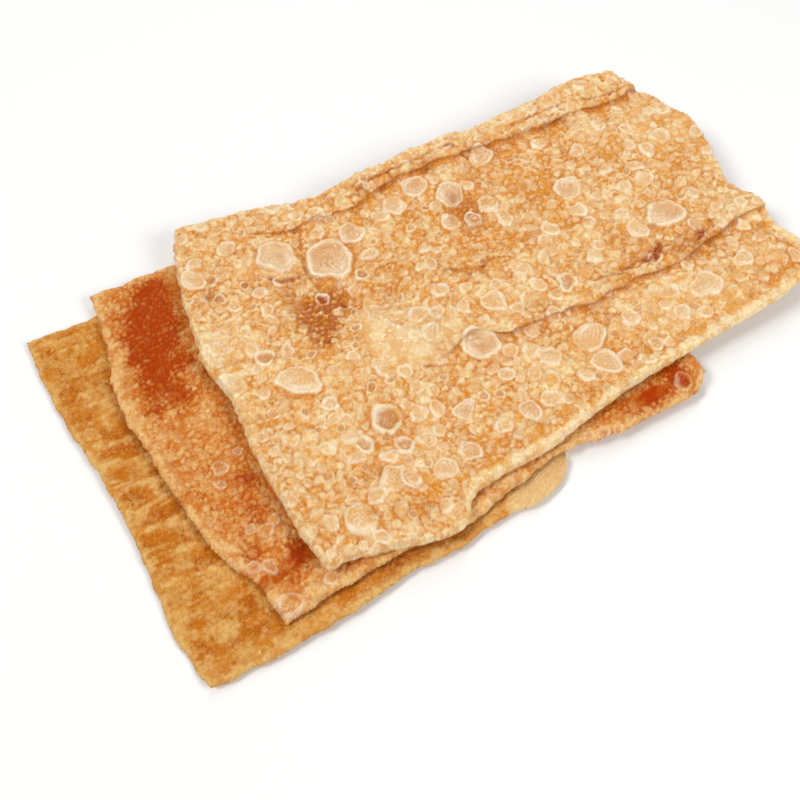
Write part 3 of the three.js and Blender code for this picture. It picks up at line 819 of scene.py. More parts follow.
def top_skin(sides, sizes):
    """The top sheet's blisters, folds and creases."""
    rng = np.random.default_rng(sizes.seed)
    skin = SkinMap(outline_of(sides))
    x, y = skin.x, skin.y
    tall = sizes.blister_height
    past_fold, past_crease = past_line(UPPER_FOLD, x, y), past_line(BACK_TURN, x, y)
    front_roll = share_along(FRONT_ROLL, x)
    front_zone = front_roll * smooth_step(9, 5, skin.inset) * (y < FRONT_PART_Y)
    long_blister, facet, behind = long_blister_at(x, y)
    skin.amber = patches_at(x, y, TOP_AMBER)
    skin.light = patches_at(x, y, TOP_LIGHT)
    skin.cluster = layered_hills(x, y, 8, 89) + 0.7 * skin.light - 0.8 * skin.amber

    bare = (front_zone > 0.3) & (layered_hills(x, y, 6, 57) < 0.1)
    skin.room = np.where(bare | (facet > 0.4), -1, skin.room)
    drawn_blisters(skin, TOP_BLISTERS, tall, rng)
    oval_place = [OVAL_BLISTER[key] for key in ("x", "y", "radius")]
    oval_tall = tall * OVAL_BLISTER["height"]
    skin.add_blister(*oval_place, "plate", oval_tall, rng, OVAL_BLISTER["stretch"], OVAL_BLISTER["turn"])
    main = (np.abs(past_crease) > 1.5) & (skin.inset > 1.3)
    anywhere = (skin.inset > 0.5) & ~bare
    kinds = ("dome", "dimpled", "dome", "dimpled", "window", "dome")
    large = ("window", "dimpled", "dimpled", "dome")
    skin.fill(rng, (2.2, 3.2), 240, large, tall * 1.1, main & (skin.cluster > -0.1), 0.72)
    more_kinds = (*kinds, "dimpled", "crater")
    skin.fill(rng, (1.2, 2.1), 9000, more_kinds, tall * 1.3, main & (skin.cluster > -0.6), 0.6)
    skin.fill(rng, (0.85, 1.4), 26000, kinds, tall * 1.25, anywhere, 0.58)
    skin.fill(rng, (sizes.smallest_blister, 0.9), 40000, ("dome",), tall * 1.4, anywhere, 0.62)
    skin.height = skin.height * (1 - 0.9 * facet)
    skin.blisters = skin.height.copy()

    fold_along = share_along(UPPER_FOLD, x)
    turn_along = share_along(BACK_TURN, x) * (0.45 + 0.55 * smooth_step(8, 34, x))
    step, turn = (
        fold["step"] * smooth_step(-fold["width"] / 2, fold["width"] / 2, past)
        for fold, past in ((UPPER_FOLD, past_fold), (BACK_TURN, past_crease))
    )
    broken = np.clip(0.6 + 0.75 * hills(x / 6, y / 9, 96), 0.1, 1.2)
    lip = 0.3 * broken * bell(past_fold - 1.0, 0.7) + UPPER_FOLD["lip"] * 0.6 * bell(past_fold - 3.6, 2.2)
    round_edge = np.sqrt(np.clip(1 - (1 - np.clip(skin.inset / 4.5, 0, 1)) ** 2, 0, 1))
    thicker = FRONT_ROLL["thicken"] * towards(FRONT_ROLL["front_y"], FRONT_ROLL["width"], y)
    roll = thicker * front_roll * round_edge
    dips = -0.4 * fold_along * bell(past_fold + 1.6, 1.3) - 0.5 * turn_along * bell(past_crease + 1.5, 1.0)
    skin.grooves, skin.ridges, skin.scorch = np.zeros((3, *x.shape))
    for path, half_width, height, scorch in TOP_WRINKLES:
        near = bell(distance_to_path(x, y, path) + 0.5 * layered_hills(x, y, 4, 97), half_width)
        skin.scorch = np.maximum(skin.scorch, scorch * near)
        if height > 0:
            skin.ridges = np.maximum(skin.ridges, near)
        else:
            skin.grooves = np.maximum(skin.grooves, near)
        dips = dips + height * near

    uneven = 0.5 + 0.5 * np.clip(skin.cluster, -1, 1) + 0.45 * hills(x / 19, y / 15, 98)
    rough = 0.2 * layered_hills(x + 0.6 * hills(x / 2, y / 2, 61), y, 1.0, 99) * (1 - 0.7 * facet)
    swell = 0.35 * front_zone * layered_hills(x, y, 6, 64)
    tent = LONG_BLISTER["height"] * long_blister * (1 + 0.07 * layered_hills(x, y, 5, 62))
    folds = uneven * (1 - front_zone) + fold_along * (step + lip) + turn_along * turn + roll
    skin.height += folds + dips + rough + tent + swell
    skin.crumple = layered_hills(x + 1.2 * hills(x / 4, y / 4, 65), y, 3.0, 93)
    skin.height += 0.75 * skin.crumple * smooth_step(-1, 1.5, past_crease) * turn_along
    skin.past_fold, skin.past_crease = past_fold, past_crease
    skin.fold_along, skin.turn_along = fold_along, turn_along
    skin.roll = front_roll * smooth_step(4.4, 2.2, skin.inset) * (y < FRONT_PART_Y)
    skin.band = front_roll * bell(skin.inset - 6.5, 3.2) * (y < FRONT_PART_Y)
    skin.facet, skin.behind = facet, behind
    skin.facet_height = np.clip(tent / LONG_BLISTER["height"], 0, 1)
    return skin


def middle_skin(sides, sizes):
    """The middle sheet's fine blisters, channel and hollow."""
    rng = np.random.default_rng(sizes.seed + 1)
    skin = SkinMap(outline_of(sides))
    x, y = skin.x, skin.y
    tall = sizes.blister_height
    seen = np.maximum(smooth_step(-48, -56, x), smooth_step(-52, -58, y))
    skin.dark = patches_at(x, y, MIDDLE_DARK) + 0.3 * layered_hills(x, y, 9, 87)
    skin.dark += 0.3 * layered_hills(x, y, 3.5, 50)
    skin.light = patches_at(x, y, MIDDLE_LIGHT)
    from_channel = distance_to_segment(x, y, CHANNEL["start"], CHANNEL["end"])
    from_channel = from_channel + 0.5 * layered_hills(x, y, 4, 88)
    from_hollow = np.hypot(x - MIDDLE_HOLLOW["x"], y - MIDDLE_HOLLOW["y"])
    tip_x = (x - SMOOTH_TIP["x"]) / SMOOTH_TIP["half_length"]
    tip_y = (y - SMOOTH_TIP["y"]) / SMOOTH_TIP["half_width"]
    skin.smooth = np.maximum(smooth_step(3.2, 1.6, from_channel), bell(np.hypot(tip_x, tip_y), 1))
    skin.room = np.where((seen < 0.1) | (skin.smooth > 0.5), -1, skin.room)
    drawn_blisters(skin, MIDDLE_BLISTERS, tall * 1.1, rng)
    anywhere = skin.inset > 0.6
    plain = ("dome", "dimpled", "dome")
    skin.fill(rng, (1.2, 1.9), 400, plain, tall * 0.9, anywhere & (skin.dark < 0.5), 0.66)
    skin.fill(rng, (0.7, 1.2), 9000, plain, tall * 1.2, anywhere, 0.58)
    skin.fill(rng, (0.5, 0.8), 20000, ("dome",), tall * 1.4, anywhere, 0.58)
    channel = -CHANNEL["depth"] * bell(from_channel, CHANNEL["half_width"])
    hollow = -MIDDLE_HOLLOW["depth"] * bell(from_hollow, MIDDLE_HOLLOW["radius"])
    skin.blisters = skin.height.copy()
    uneven = 0.35 + 0.45 * layered_hills(x, y, 8, 73) + 0.1 * layered_hills(x, y, 1.3, 68)
    skin.height = seen * (skin.height * (1 - 0.15 * np.clip(skin.dark, 0, 1)) + uneven + channel + hollow)
    return skin


def bottom_skin(sides, sizes):
    """The bottom sheet's grain, ripples and pale flap."""
    rng = np.random.default_rng(sizes.seed + 2)
    skin = SkinMap(outline_of(sides))
    x, y = skin.x, skin.y
    seen = np.maximum(smooth_step(-68, -76, x), smooth_step(-56, -62, y))
    skin.room = np.where(seen < 0.1, -1, skin.room)
    skin.fill(rng, (0.8, 1.3), 1800, ("dome",), sizes.blister_height * 0.6, skin.inset > 0.9, 0.7)
    skin.fill(rng, (0.5, 0.8), 9000, ("dome",), sizes.blister_height * 0.7, skin.inset > 0.5, 0.65)
    skin.blisters = skin.height.copy()
    inside = bell(x - EDGE_RIPPLES["x"], EDGE_RIPPLES["half_width"])
    inside = inside * bell(y - EDGE_RIPPLES["y"], EDGE_RIPPLES["half_length"])
    bent = y + 0.25 * x + 3.0 * hills(x / 14, y / 11, 81)
    waves = 1 + np.sin(2 * math.pi * bent / EDGE_RIPPLES["spacing"])
    skin.ripples = EDGE_RIPPLES["height"] * inside * waves
    # Fine creases run in from the edge, longer than they are wide.
    drawn = y + 0.12 * x + 2.4 * hills(x / 16, y / 12, 81)
    creases = hills(x / 9, drawn / 1.6, 96) + 0.6 * hills(x / 5, drawn / 0.85, 97)
    skin.ripples = skin.ripples + 0.2 * creases * smooth_step(-70, -84, x) * (0.3 + 0.7 * bell(y + 16, 34))
    from_flap = distance_to_segment(x, y, PALE_FLAP["start"], PALE_FLAP["end"])
    skin.flap = smooth_step(1.1, 0.6, from_flap / PALE_FLAP["half_width"])
    ribs = hills((x + 0.6 * y) / 1.5, (y - 0.6 * x) / 7, 92)
    skin.ripples = skin.ripples + 0.22 * skin.flap * ribs
    uneven = 0.3 * (1 + layered_hills(x, y, 8, 83)) + 0.1 * layered_hills(x, y, 1.6, 67)
    skin.height = seen * (skin.height + skin.ripples + uneven)
    return skin


# ---- Meshes ----


def vertex_normals(points, quads):
    """Smooth normals from the faces round each point."""
    a, b, c, d = (points[quads[:, k]] for k in range(4))
    normals = np.cross(c - a, d - b)
    total = np.zeros_like(points)
    for k in range(4):
        for axis in range(3):
            total[:, axis] += np.bincount(quads[:, k], normals[:, axis], len(points))
    length = np.linalg.norm(total, axis=1, keepdims=True)
    return total / np.where(length > 0, length, 1)


def new_piece(name, vertices, faces, tints, normals=None):
    """Adds a smooth mesh object, with a number at each point for every tint."""
    mesh = bpy.data.meshes.new(name)
    mesh.from_pydata(vertices.tolist(), [], faces)
    mesh.polygons.foreach_set("use_smooth", np.ones(len(mesh.polygons), bool))
    for tint, values in tints.items():
        layer = mesh.attributes.new(tint, "FLOAT", "POINT")
        layer.data.foreach_set("value", np.clip(values, 0, 1).astype(np.float32))
    mesh.update()
    if normals is not None:
        mesh.normals_split_custom_set_from_vertices(normals.tolist())
    piece = bpy.data.objects.new(name, mesh)
    bpy.context.scene.collection.objects.link(piece)
    return piece


def underside_faces(index, low_index):
    """Faces of the lower side, a third as many each way. Those along the rim also take in the
    upper face's points there, so that the two close."""
    faces = []
    last_j, last_i = low_index.shape[0] - 2, low_index.shape[1] - 2
    for j in range(last_j + 1):
        for i in range(last_i + 1):
            ring = [low_index[j, i]]
            if i == 0:
                ring += [index[3 * j + 1, 0], index[3 * j + 2, 0]]
            ring.append(low_index[j + 1, i])
            if j == last_j:
                ring += [index[-1, 3 * i + 1], index[-1, 3 * i + 2]]
            ring.append(low_index[j + 1, i + 1])
            if i == last_i:
                ring += [index[3 * j + 2, -1], index[3 * j + 1, -1]]
            ring.append(low_index[j, i + 1])
            if j == 0:
                ring += [index[0, 3 * i + 2], index[0, 3 * i + 1]]
            faces.append([int(k) for k in ring])
    return faces


def sheet_pieces(sheet, sides, panels, cuts, mid_height, skin, tints, overhang):
    """One closed sheet as touching panels. Each panel is a name, and the shares of the rows
    and of the columns that it runs between. The panels share their points and normals."""
    rows, us = cuts
    length, width = sides["front"][2], sides["left"][2]
    row_grid, u_grid = np.meshgrid(rows, us, indexing="ij")
    v_grid = follow_lines(sheet, sides, u_grid, row_grid)
    place = place_on(sides, u_grid, v_grid)
    from_ends = np.minimum(u_grid, 1 - u_grid) * length
    from_sides = np.minimum(v_grid, 1 - v_grid) * width
    inset = np.minimum(from_ends, from_sides)
    place = ragged_edge(sheet, sides, u_grid, v_grid, place)
    x, y = place[..., 0], place[..., 1]
    half = np.minimum(half_thickness(sheet, from_ends), half_thickness(sheet, from_sides))
    middle = mid_height(x, y)
    relief = skin.sample(skin.height, x, y) * smooth_step(0, 1.5, inset)
    upper_y = overhang(x, y) if overhang else y
    height = middle + half + relief
    flattened = HIGHEST + SOFTENING * (1 - np.exp((HIGHEST - height) / SOFTENING))
    height = np.where(height > HIGHEST, flattened, height)
    upper = np.stack([x - BOX_CENTRE[0], upper_y - BOX_CENTRE[1], height], -1)
    lower = np.concatenate([place - BOX_CENTRE, np.maximum(0, middle - half)[..., None]], -1)

    rows_n, columns_n = x.shape
    index = np.arange(rows_n * columns_n).reshape(rows_n, columns_n)
    pick = np.ix_(range(0, rows_n, 3), range(0, columns_n, 3))
    low_index = index[pick].copy()
    inner = low_index[1:-1, 1:-1]
    low_index[1:-1, 1:-1] = rows_n * columns_n + np.arange(inner.size).reshape(inner.shape)
    points = np.vstack([upper.reshape(-1, 3), lower[pick][1:-1, 1:-1].reshape(-1, 3)]) * MM

    quads = np.stack([index[:-1, :-1], index[:-1, 1:], index[1:, 1:], index[1:, :-1]], -1)
    low_quads = np.stack([low_index[:-1, :-1], low_index[1:, :-1], low_index[1:, 1:], low_index[:-1, 1:]], -1)
    normals = vertex_normals(points, np.vstack([quads.reshape(-1, 4), low_quads.reshape(-1, 4)]))
    low_faces = underside_faces(index, low_index)
    values = {
        tint: np.concatenate([grid.ravel(), grid[pick][1:-1, 1:-1].ravel()])
        for tint, grid in tints(skin, x, y, inset).items()
    }

    pieces = []
    low_columns = low_index.shape[1] - 1
    for name, (row_from, row_to), (u_from, u_to) in panels:
        j0, j1 = (int(np.argmin(np.abs(rows[::3] - share))) for share in (row_from, row_to))
        i0, i1 = (int(np.argmin(np.abs(us[::3] - share))) for share in (u_from, u_to))
        faces = quads[3 * j0 : 3 * j1, 3 * i0 : 3 * i1].reshape(-1, 4).tolist()
        faces += [low_faces[j * low_columns + i] for j in range(j0, j1) for i in range(i0, i1)]
        used = np.unique(np.concatenate([np.array(face) for face in faces]))
        new_index = np.zeros(len(points), int)
        new_index[used] = np.arange(len(used))
        new_index = new_index.tolist()
        faces = [[new_index[k] for k in face] for face in faces]
        own = {tint: value[used] for tint, value in values.items()}
        pieces.append(new_piece(name, points[used], faces, own, normals[used]))
    return pieces


# A clear film reaches this share of its blister's radius, and has this many spokes.
FILM_REACH = 0.86
SPOKES = 36


def film_piece(name, skin, mid_height, sheet, tall):
    """The clear skins that still stand over the burst blisters, as one mesh of thin caps."""
    vertices, faces = [], []
    for x, y, radius, stretch, turn, phases in skin.films:
        rings = max(5, int(radius * 2))
        start = len(vertices)
        for k in range(rings + 1):
            rho = FILM_REACH * (1 - k / rings)
            for s in range(SPOKES if k < rings else 1):
                angle = 2 * math.pi * s / SPOKES
                reach = rho * radius * lobed(angle, phases)
                dx, dy = turned(reach * math.cos(angle), reach * math.sin(angle) / stretch, -turn)
                vertices.append((x + dx, y + dy, rho, radius, *bubble_drift(x, y)))
        for k in range(rings):
            for s in range(SPOKES):
                a, b = (start + k * SPOKES + spoke for spoke in (s, (s + 1) % SPOKES))
                inner = (b + SPOKES, a + SPOKES) if k < rings - 1 else (start + rings * SPOKES,)
                faces.append((a, b, *inner))
    round_x, round_y, rho, radius, home_x, home_y = np.array(vertices).T
    x, y = round_x, round_y
    for _ in range(3):
        drift_x, drift_y = bubble_drift(x, y)
        x, y = round_x + home_x - drift_x, round_y + home_y - drift_y
    under = skin.sample(skin.blurred(skin.height - skin.blisters, 1.5), x, y)
    crest = 0.44 * tall * radius
    taut = 0.10 * radius * (1 - (rho / FILM_REACH) ** 2)
    crinkle = 0.05 * radius * layered_hills(x, y, 2.4, 91) * smooth_step(FILM_REACH, 0.5, rho)
    z = mid_height(x, y) + sheet.thickness / 2 + under + crest + taut + crinkle
    points = np.stack([x - BOX_CENTRE[0], y - BOX_CENTRE[1], z], -1) * MM
    return new_piece(name, points, faces, {"rim": rho / FILM_REACH})


# ---- Materials ----


def add_node(tree, kind, settings=None, links=None):
    """Adds a shader node of a kind. Settings name its properties or inputs, and links its inputs."""
    node = tree.nodes.new("ShaderNode" + kind)
    for key, value in (settings or {}).items():
        if isinstance(key, str) and hasattr(node, key):
            setattr(node, key, value)
        else:
            node.inputs[key].default_value = value
    for key, socket in (links or {}).items():
        tree.links.new(socket, node.inputs[key])
    return node


def new_material(name):
    """An empty material, and add_node for its tree."""
    material = bpy.data.materials.new(name)
    material.use_nodes = True
    material.node_tree.nodes.clear()
    return material, partial(add_node, material.node_tree)


def fried_skin(name, colours, roughness, coat, grain_mm):
    """Deep-fried tofu skin: a protein film, glassy where thin, crisp and lightly oiled, so that
    it gives small sharp glints over a body with fine flecks."""
    material, node = new_material(name)
    place = node("TexCoord").outputs["Object"]
    warp = node("TexNoise", {"Scale": 1 / (3.0 * MM), "Detail": 2.0}, {"Vector": place}).outputs["Color"]
    bend = {"operation": "MULTIPLY_ADD", 1: (0.9 * MM,) * 3}
    bent = node("VectorMath", bend, {0: warp, 2: place}).outputs[0]
    # Grain: bubbles of a millimetre or less that frying leaves all over the film.
    bubbles = {"feature": "SMOOTH_F1", "Scale": 1 / (grain_mm * MM), "Smoothness": 0.3}
    grain = node("TexVoronoi", bubbles, {"Vector": bent}).outputs["Distance"]
    # Flecks of half a millimetre, mottling of a few, and patches of a centimetre that browned more.
    noise = {"Detail": 3.0, "Roughness": 0.62}
    fine, flecked, mottled, blotch, patch = (
        node("TexNoise", {"Scale": 1 / (size * MM), **noise}, {"Vector": bent}).outputs["Fac"]
        for size in (0.42, 0.83, 2.4, 5.2, 11)
    )
    # Creases of the drying film: thin lines where a noise of 1.3 mm crosses its middle value. They are raised
    # in the bump and painted pale, partly the creases' colour and partly painted glints.
    swirls = {"Scale": 1 / (1.3 * MM), "Detail": 1.5, "Distortion": 0.8}
    swirl = node("TexNoise", swirls, {"Vector": bent}).outputs["Fac"]
    off = node("Math", {"operation": "SUBTRACT", 1: 0.5}, {0: swirl}).outputs[0]
    crease = node("Math", {"operation": "ABSOLUTE"}, {0: off}).outputs[0]
    brown, pale, membrane, deep, rim = (
        node("Attribute", {"attribute_name": tint}).outputs["Fac"]
        for tint in ("brown", "pale", "membrane", "deep", "rim")
    )
    # Raised skin is cream in some places and rose in others.
    rosy = node("MapRange", {1: 0.52, 2: 0.4}, {0: mottled}).outputs[0]
    rosy = node("Math", {"operation": "MULTIPLY"}, {0: rosy, 1: pale}).outputs[0]

    # Each layer: what steers it, the values where it starts and ends, how much, and its colour. Brown, pale
    # and deep carry painted shade and light in places, besides the skin's colours. The last layer, rim,
    # paints highlights on the top and middle sheets.
    colour = node("RGB").outputs[0]
    colour.default_value = (*colours["even"], 1)
    for steer, start, end, amount, layer in (
        (patch, 0.42, 0.68, 0.5, "brown"),
        (mottled, 0.5, 0.75, 0.45, "brown"),
        (fine, 0.5, 0.66, 0.6, "fleck"),
        (brown, 0, 1, 1, "brown"),
        (grain, 0.35, 0.75, 0.3, "brown"),
        (pale, 0, 1, 1, "pale"),
        (rosy, 0, 1, 0.6, "rose"),
        (blotch, 0.5, 0.6, 0.6, "glow"),
        (blotch, 0.47, 0.37, 0.45, "pale"),
        (mottled, 0.51, 0.62, 0.45, "glow"),
        (membrane, 0, 1, 0.8, "membrane"),
        (crease, 0.045, 0.0, 0.45, "fleck"),
        (fine, 0.48, 0.3, 0.5, "brown"),
        (flecked, 0.43, 0.3, 0.45, "fleck"),
        (deep, 0, 1, 1, "deep"),
        (rim, 0, 1, 0.85, "rim"),
    ):
        share = node("MapRange", {1: start, 2: end, 3: 0.0, 4: amount}, {0: steer}).outputs[0]
        layer_colour = {"data_type": "RGBA", 7: (*colours[layer], 1)}
        colour = node("Mix", layer_colour, {0: share, 6: colour}).outputs[2]

    lift = node("Math", {"operation": "MULTIPLY_ADD", 1: -1.2}, {0: grain, 2: fine}).outputs[0]
    ridge = node("MapRange", {1: 0.05, 2: 0.0, 3: 0.0, 4: 0.4}, {0: crease}).outputs[0]
    lift = node("Math", {"operation": "ADD"}, {0: lift, 1: ridge}).outputs[0]
    bump = node("Bump", {"Strength": 0.85, "Distance": 0.26 * MM}, {"Height": lift}).outputs[0]
    gloss_range = {1: 0.3, 2: 0.7, 3: roughness - 0.08, 4: roughness + 0.12}
    gloss = node("MapRange", gloss_range, {0: mottled}).outputs[0]
    shader = node(
        "BsdfPrincipled",
        {"Specular IOR Level": 0.05, "Coat Weight": coat, "Coat Roughness": 0.08, "Coat IOR": 1.4},
        {"Base Color": colour, "Roughness": gloss, "Normal": bump},
    )
    node("OutputMaterial", links={"Surface": shader.outputs[0]})
    return material


def clear_film(name, tint):
    """Blown film of dried soy protein, a few hundredths of a millimetre thick: nearly clear,
    milky towards its rim, with a glassy shine and fine wrinkles. The milky rim is partly film seen
    edge-on and partly a painted reflection. The whiter streaks along its wrinkles are partly creased
    film and partly painted glints."""
    material, node = new_material(name)
    place = node("TexCoord").outputs["Object"]
    clouds = {"Scale": 1 / (1.6 * MM), "Detail": 3.0, "Roughness": 0.6, "Distortion": 1.2}
    cloud = node("TexNoise", clouds, {"Vector": place}).outputs["Fac"]
    off = node("Math", {"operation": "SUBTRACT", 1: 0.5}, {0: cloud}).outputs[0]
    streak = node("Math", {"operation": "ABSOLUTE"}, {0: off}).outputs[0]
    streak = node("MapRange", {1: 0.03, 2: 0.0, 3: 0.02, 4: 0.45}, {0: streak}).outputs[0]
    rim = node("Attribute", {"attribute_name": "rim"}).outputs["Fac"]
    # A milky rim, partly film seen edge-on and partly a painted reflection, over whiter streaks that are
    # partly creased film and partly painted glints.
    steep = node("Math", {"operation": "POWER", 1: 4.0}, {0: rim}).outputs[0]
    milky = {"operation": "MULTIPLY_ADD", 1: 0.3, "use_clamp": True}
    alpha = node("Math", milky, {0: steep, 2: streak}).outputs[0]
    wrinkle = node("Bump", {"Strength": 0.8, "Distance": 0.4 * MM}, {"Height": cloud}).outputs[0]
    shader = node(
        "BsdfPrincipled",
        {"Base Color": (*tint, 1), "Roughness": 0.14, "IOR": 1.4, "Coat Weight": 0.3, "Coat Roughness": 0.05},
        {"Alpha": alpha, "Normal": wrinkle},
    )
    node("OutputMaterial", links={"Surface": shader.outputs[0]})
    return material


# ---- Tints: how much of each colour of its material a sheet shows at a place ----


def relief_at(skin, x, y):
    """How far a place stands out of its surroundings, and its blister out of wider ones."""
    near = skin.sample(skin.height - skin.blurred(skin.height, 0.8), x, y)
    return near, skin.sample(skin.blisters - skin.blurred(skin.blisters, 2.4), x, y)


def bottom_tints(skin, x, y, inset):
    near, _ = relief_at(skin, x, y)
    flap = skin.sample(skin.flap, x, y)
    ripple_relief = skin.sample(skin.ripples - skin.blurred(skin.ripples, 2.0), x, y)
    edge = bell(inset, 1.3) * 0.7 + bell(inset, 4.5) * 0.3
    front_rim = bell(y - FRONT_TROUGH["rim_y"], 4) * 0.4
    cloudy = layered_hills(x, y, 7, 86)
    speckle = layered_hills(x, y, 2.6, 82)
    shade = patches_at(x, y, BOTTOM_SHADE) + 0.55 * cloudy + 0.6 * speckle
    # A line of painted shade along the front trough.
    from_trough = y - FRONT_TROUGH["shade_y"] + 1.2 * ripple(x, 9, 85)
    trough = bell(from_trough, FRONT_TROUGH["shade_half_width"]) * 0.7 * smooth_step(-72, -80, x)
    tops = 0.8 * np.clip(near * 4.0, 0, 0.5)
    # Ripple crests are painted paler, and ripple hollows and hollows between blisters browner. This is partly
    # the skin's colour and partly painted light and shade.
    return {
        "pale": edge + 0.9 * flap + front_rim + tops + np.clip(ripple_relief * 3.2, 0, 0.8)
        - 0.45 * cloudy - 0.4 * speckle,
        "brown": shade + trough + np.clip(-ripple_relief * 4.0, 0, 0.9) + np.clip(-near * 4.5, 0, 0.6)
        - 0.5 * flap - 0.4 * edge,
        "membrane": flap * 0.8,
        "rim": 0.5 * flap * bell(inset, 0.8),
        "deep": trough * 0.15 + 0.3 * patches_at(x, y, BOTTOM_SCORCHED),
    }


def middle_tints(skin, x, y, inset):
    near, wide = relief_at(skin, x, y)
    rims, membrane, pit, shine = skin.samples(x, y, "rims", "membrane", "pit", "shine")
    dark, light, smooth = skin.samples(x, y, "dark", "light", "smooth")
    dark = np.clip(dark, 0, 1.2)
    shaded = np.clip(dark, 0, 1)
    edge = bell(inset, 2.2) * 0.9 + bell(inset, 5.5) * 0.4
    grit = 0.25 * hills(x / 0.9, y / 0.9, 58)
    # Hollows between blisters are browner, partly the skin's colour and partly painted shade.
    valleys = np.clip(-near * 6.5, 0, 1) + np.clip(-wide * 1.5, 0, 0.4) + grit
    tops = 0.8 * np.clip(near * 5.0, 0, 0.9) - 0.5 * grit
    spots = 0.6 * layered_hills(x, y, 3.0, 66)
    pale = edge + 0.5 * light + tops + 0.5 * rims - 0.5 * spots - 0.05
    deep = 1.1 * dark - 0.3 - 0.9 * tops + 0.5 * valleys * shaded - 0.5 * spots
    # The rim tint is a painted highlight on glassy blister rims.
    return {
        "brown": 0.9 * dark + 0.6 * smooth + valleys + spots - 0.4 * light - 0.5 * edge,
        "pale": pale * (1 - shaded) * (1 - smooth),
        "membrane": membrane * (1 - 0.6 * shaded),
        "rim": 0.8 * shine * (1 - 0.6 * shaded),
        "deep": np.clip(deep, 0, 0.95) + 0.2 * pit + 0.25 * smooth,
    }


def top_tints(skin, x, y, inset):
    near, wide = relief_at(skin, x, y)
    rims, membrane, pit, shine = skin.samples(x, y, "rims", "membrane", "pit", "shine")
    past_fold, past_crease = skin.samples(x, y, "past_fold", "past_crease")
    fold_along, turn_along = skin.samples(x, y, "fold_along", "turn_along")
    facet, up_facet, behind = skin.samples(x, y, "facet", "facet_height", "behind")
    roll, band = skin.samples(x, y, "roll", "band")
    amber, light, cluster = skin.samples(x, y, "amber", "light", "cluster")
    grooves, ridges, scorch, crumple = skin.samples(x, y, "grooves", "ridges", "scorch", "crumple")
    amber, cluster = np.clip(amber, 0, 1), np.clip(cluster, -1, 1)
    # On the long blister: painted shade just behind the crest, a painted highlight (in the rim tint) just
    # before it, and the front slope painted lighter than the slope behind, more so the higher it stands.
    crest = 5 * facet * behind**2
    # Painted shade where a fold shuts. Its lip is pale, partly paler skin and partly a painted highlight. The
    # strip behind the crease is crumpled.
    broken = np.clip(0.55 + 0.8 * hills(x / 5, y / 8, 95), 0, 1)
    crevice_shade = fold_along * bell(past_fold + 0.3, 0.8) * (0.3 + 0.7 * broken)
    crevice_shade = crevice_shade + turn_along * bell(past_crease + 0.5, 0.7) * (0.3 + 0.7 * broken)
    lips = fold_along * bell(past_fold - 1.8, 0.7) * broken
    folded = np.maximum(fold_along * bell(past_fold - 0.8, 1.4), turn_along * bell(past_crease - 0.8, 1.4))
    # The strip is painted browner in the hollows of its crumple, a painted shade.
    strip = turn_along * smooth_step(0, 2, past_crease)
    # Blisters: amber between them, the skin's own colour deepened by painted shade, and cream on top.
    amberness = np.clip(0.55 - 0.8 * cluster + 0.6 * amber, 0.1, 1.2)
    grit = 0.3 * hills(x / 0.9, y / 0.9, 58) + 0.45 * layered_hills(x, y, 2.6, 56)
    valleys = (np.clip(-near * 7.0, 0, 1) + np.clip(-wide * 3.0, 0, 0.9)) * amberness + grit
    tops = 0.6 * (np.clip(near * 4.0, 0, 0.75) + np.clip(wide, 0, 0.4)) - 0.6 * grit
    tops = tops * (1 - 0.7 * folded * (1 - 0.6 * broken))
    fray = smooth_step(-0.1, 0.6, layered_hills(x, y, 2.6, 94))
    fine_fray = smooth_step(-0.5, 0.4, layered_hills(x, y, 1.8, 63))
    scorched = patches_at(x, y, TOP_SCORCHED) * fray + scorch * fine_fray
    edge = bell(inset, 2.0) * (0.55 + 0.4 * hills(x / 4, y / 4, 55))

    # The grooves of the wrinkles are painted browner and less pale, a painted shade, and their ridges paler,
    # a painted highlight.
    brown = 0.7 * amber - 0.5 * cluster + valleys + 0.8 * crevice_shade + 0.35 * band + 0.6 * grooves + 0.3 * pit
    brown = brown - 0.45 * light - 0.8 * roll - 0.8 * facet * up_facet - 0.3 * behind + 0.5 * crest
    pale = rims + tops + 0.45 * light + 0.15 * cluster + 0.75 * roll + 0.35 * facet + 0.5 * lips
    pale = pale + 0.2 * ridges + 0.25 * strip + edge + 0.9 * facet * up_facet + 0.2 * behind
    oiled = 1.6 * np.clip(amber - 0.5, 0, 1) * np.clip(0.45 + valleys - 0.5 * tops, 0, 1)
    # The rim tint is a painted highlight: on glassy blister rims and just before the long blister's crest.
    return {
        "rim": shine + 3.6 * facet**2 * behind * (0.65 + 0.35 * hills(x / 3, y / 3, 60)),
        "brown": brown + strip * (0.5 * np.clip(-crumple, 0, 1) - 0.3),
        "pale": pale - 0.5 * crest - 0.35 * amber - 0.7 * crevice_shade - 0.4 * grooves - 0.3 * band,
        "membrane": np.maximum(membrane, facet * (0.2 + 0.35 * up_facet) + 0.4 * behind) * (1 - roll),
        "deep": 0.4 * crevice_shade * broken + scorched + 0.1 * crest + 0.55 * pit * (0.45 + amber) + oiled,
    }


def fold_overhang(x, y):
    """Carries the fold's free edge and the turned-up back over what lies before them."""
    for fold in (UPPER_FOLD, BACK_TURN):
        along = share_along(fold, x) * (1 + 0.5 * ripple(x, 4.5, 17 + fold["seed"]))
        share = np.clip(past_line(fold, x, y) / fold["width"] + 0.5, 0, 1)
        y = y + along * fold["overhang"] * np.sin(2 * math.pi * share)
    return y


# ---- Operators ----


def dress(piece, material):
    """Gives a piece its finish and ties it to the frame."""
    piece.data.materials.append(material)
    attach(piece, BODY)


def build_sheet(sheet, sides, panels, cuts, mid_height, skin, tints, material, overhang=None):
    """Makes a sheet's pieces, which stand in for its solid."""
    for piece in sheet_pieces(sheet, sides, panels, cuts, mid_height, skin, tints, overhang):
        dress(piece, material)
        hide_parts(sheet.node)


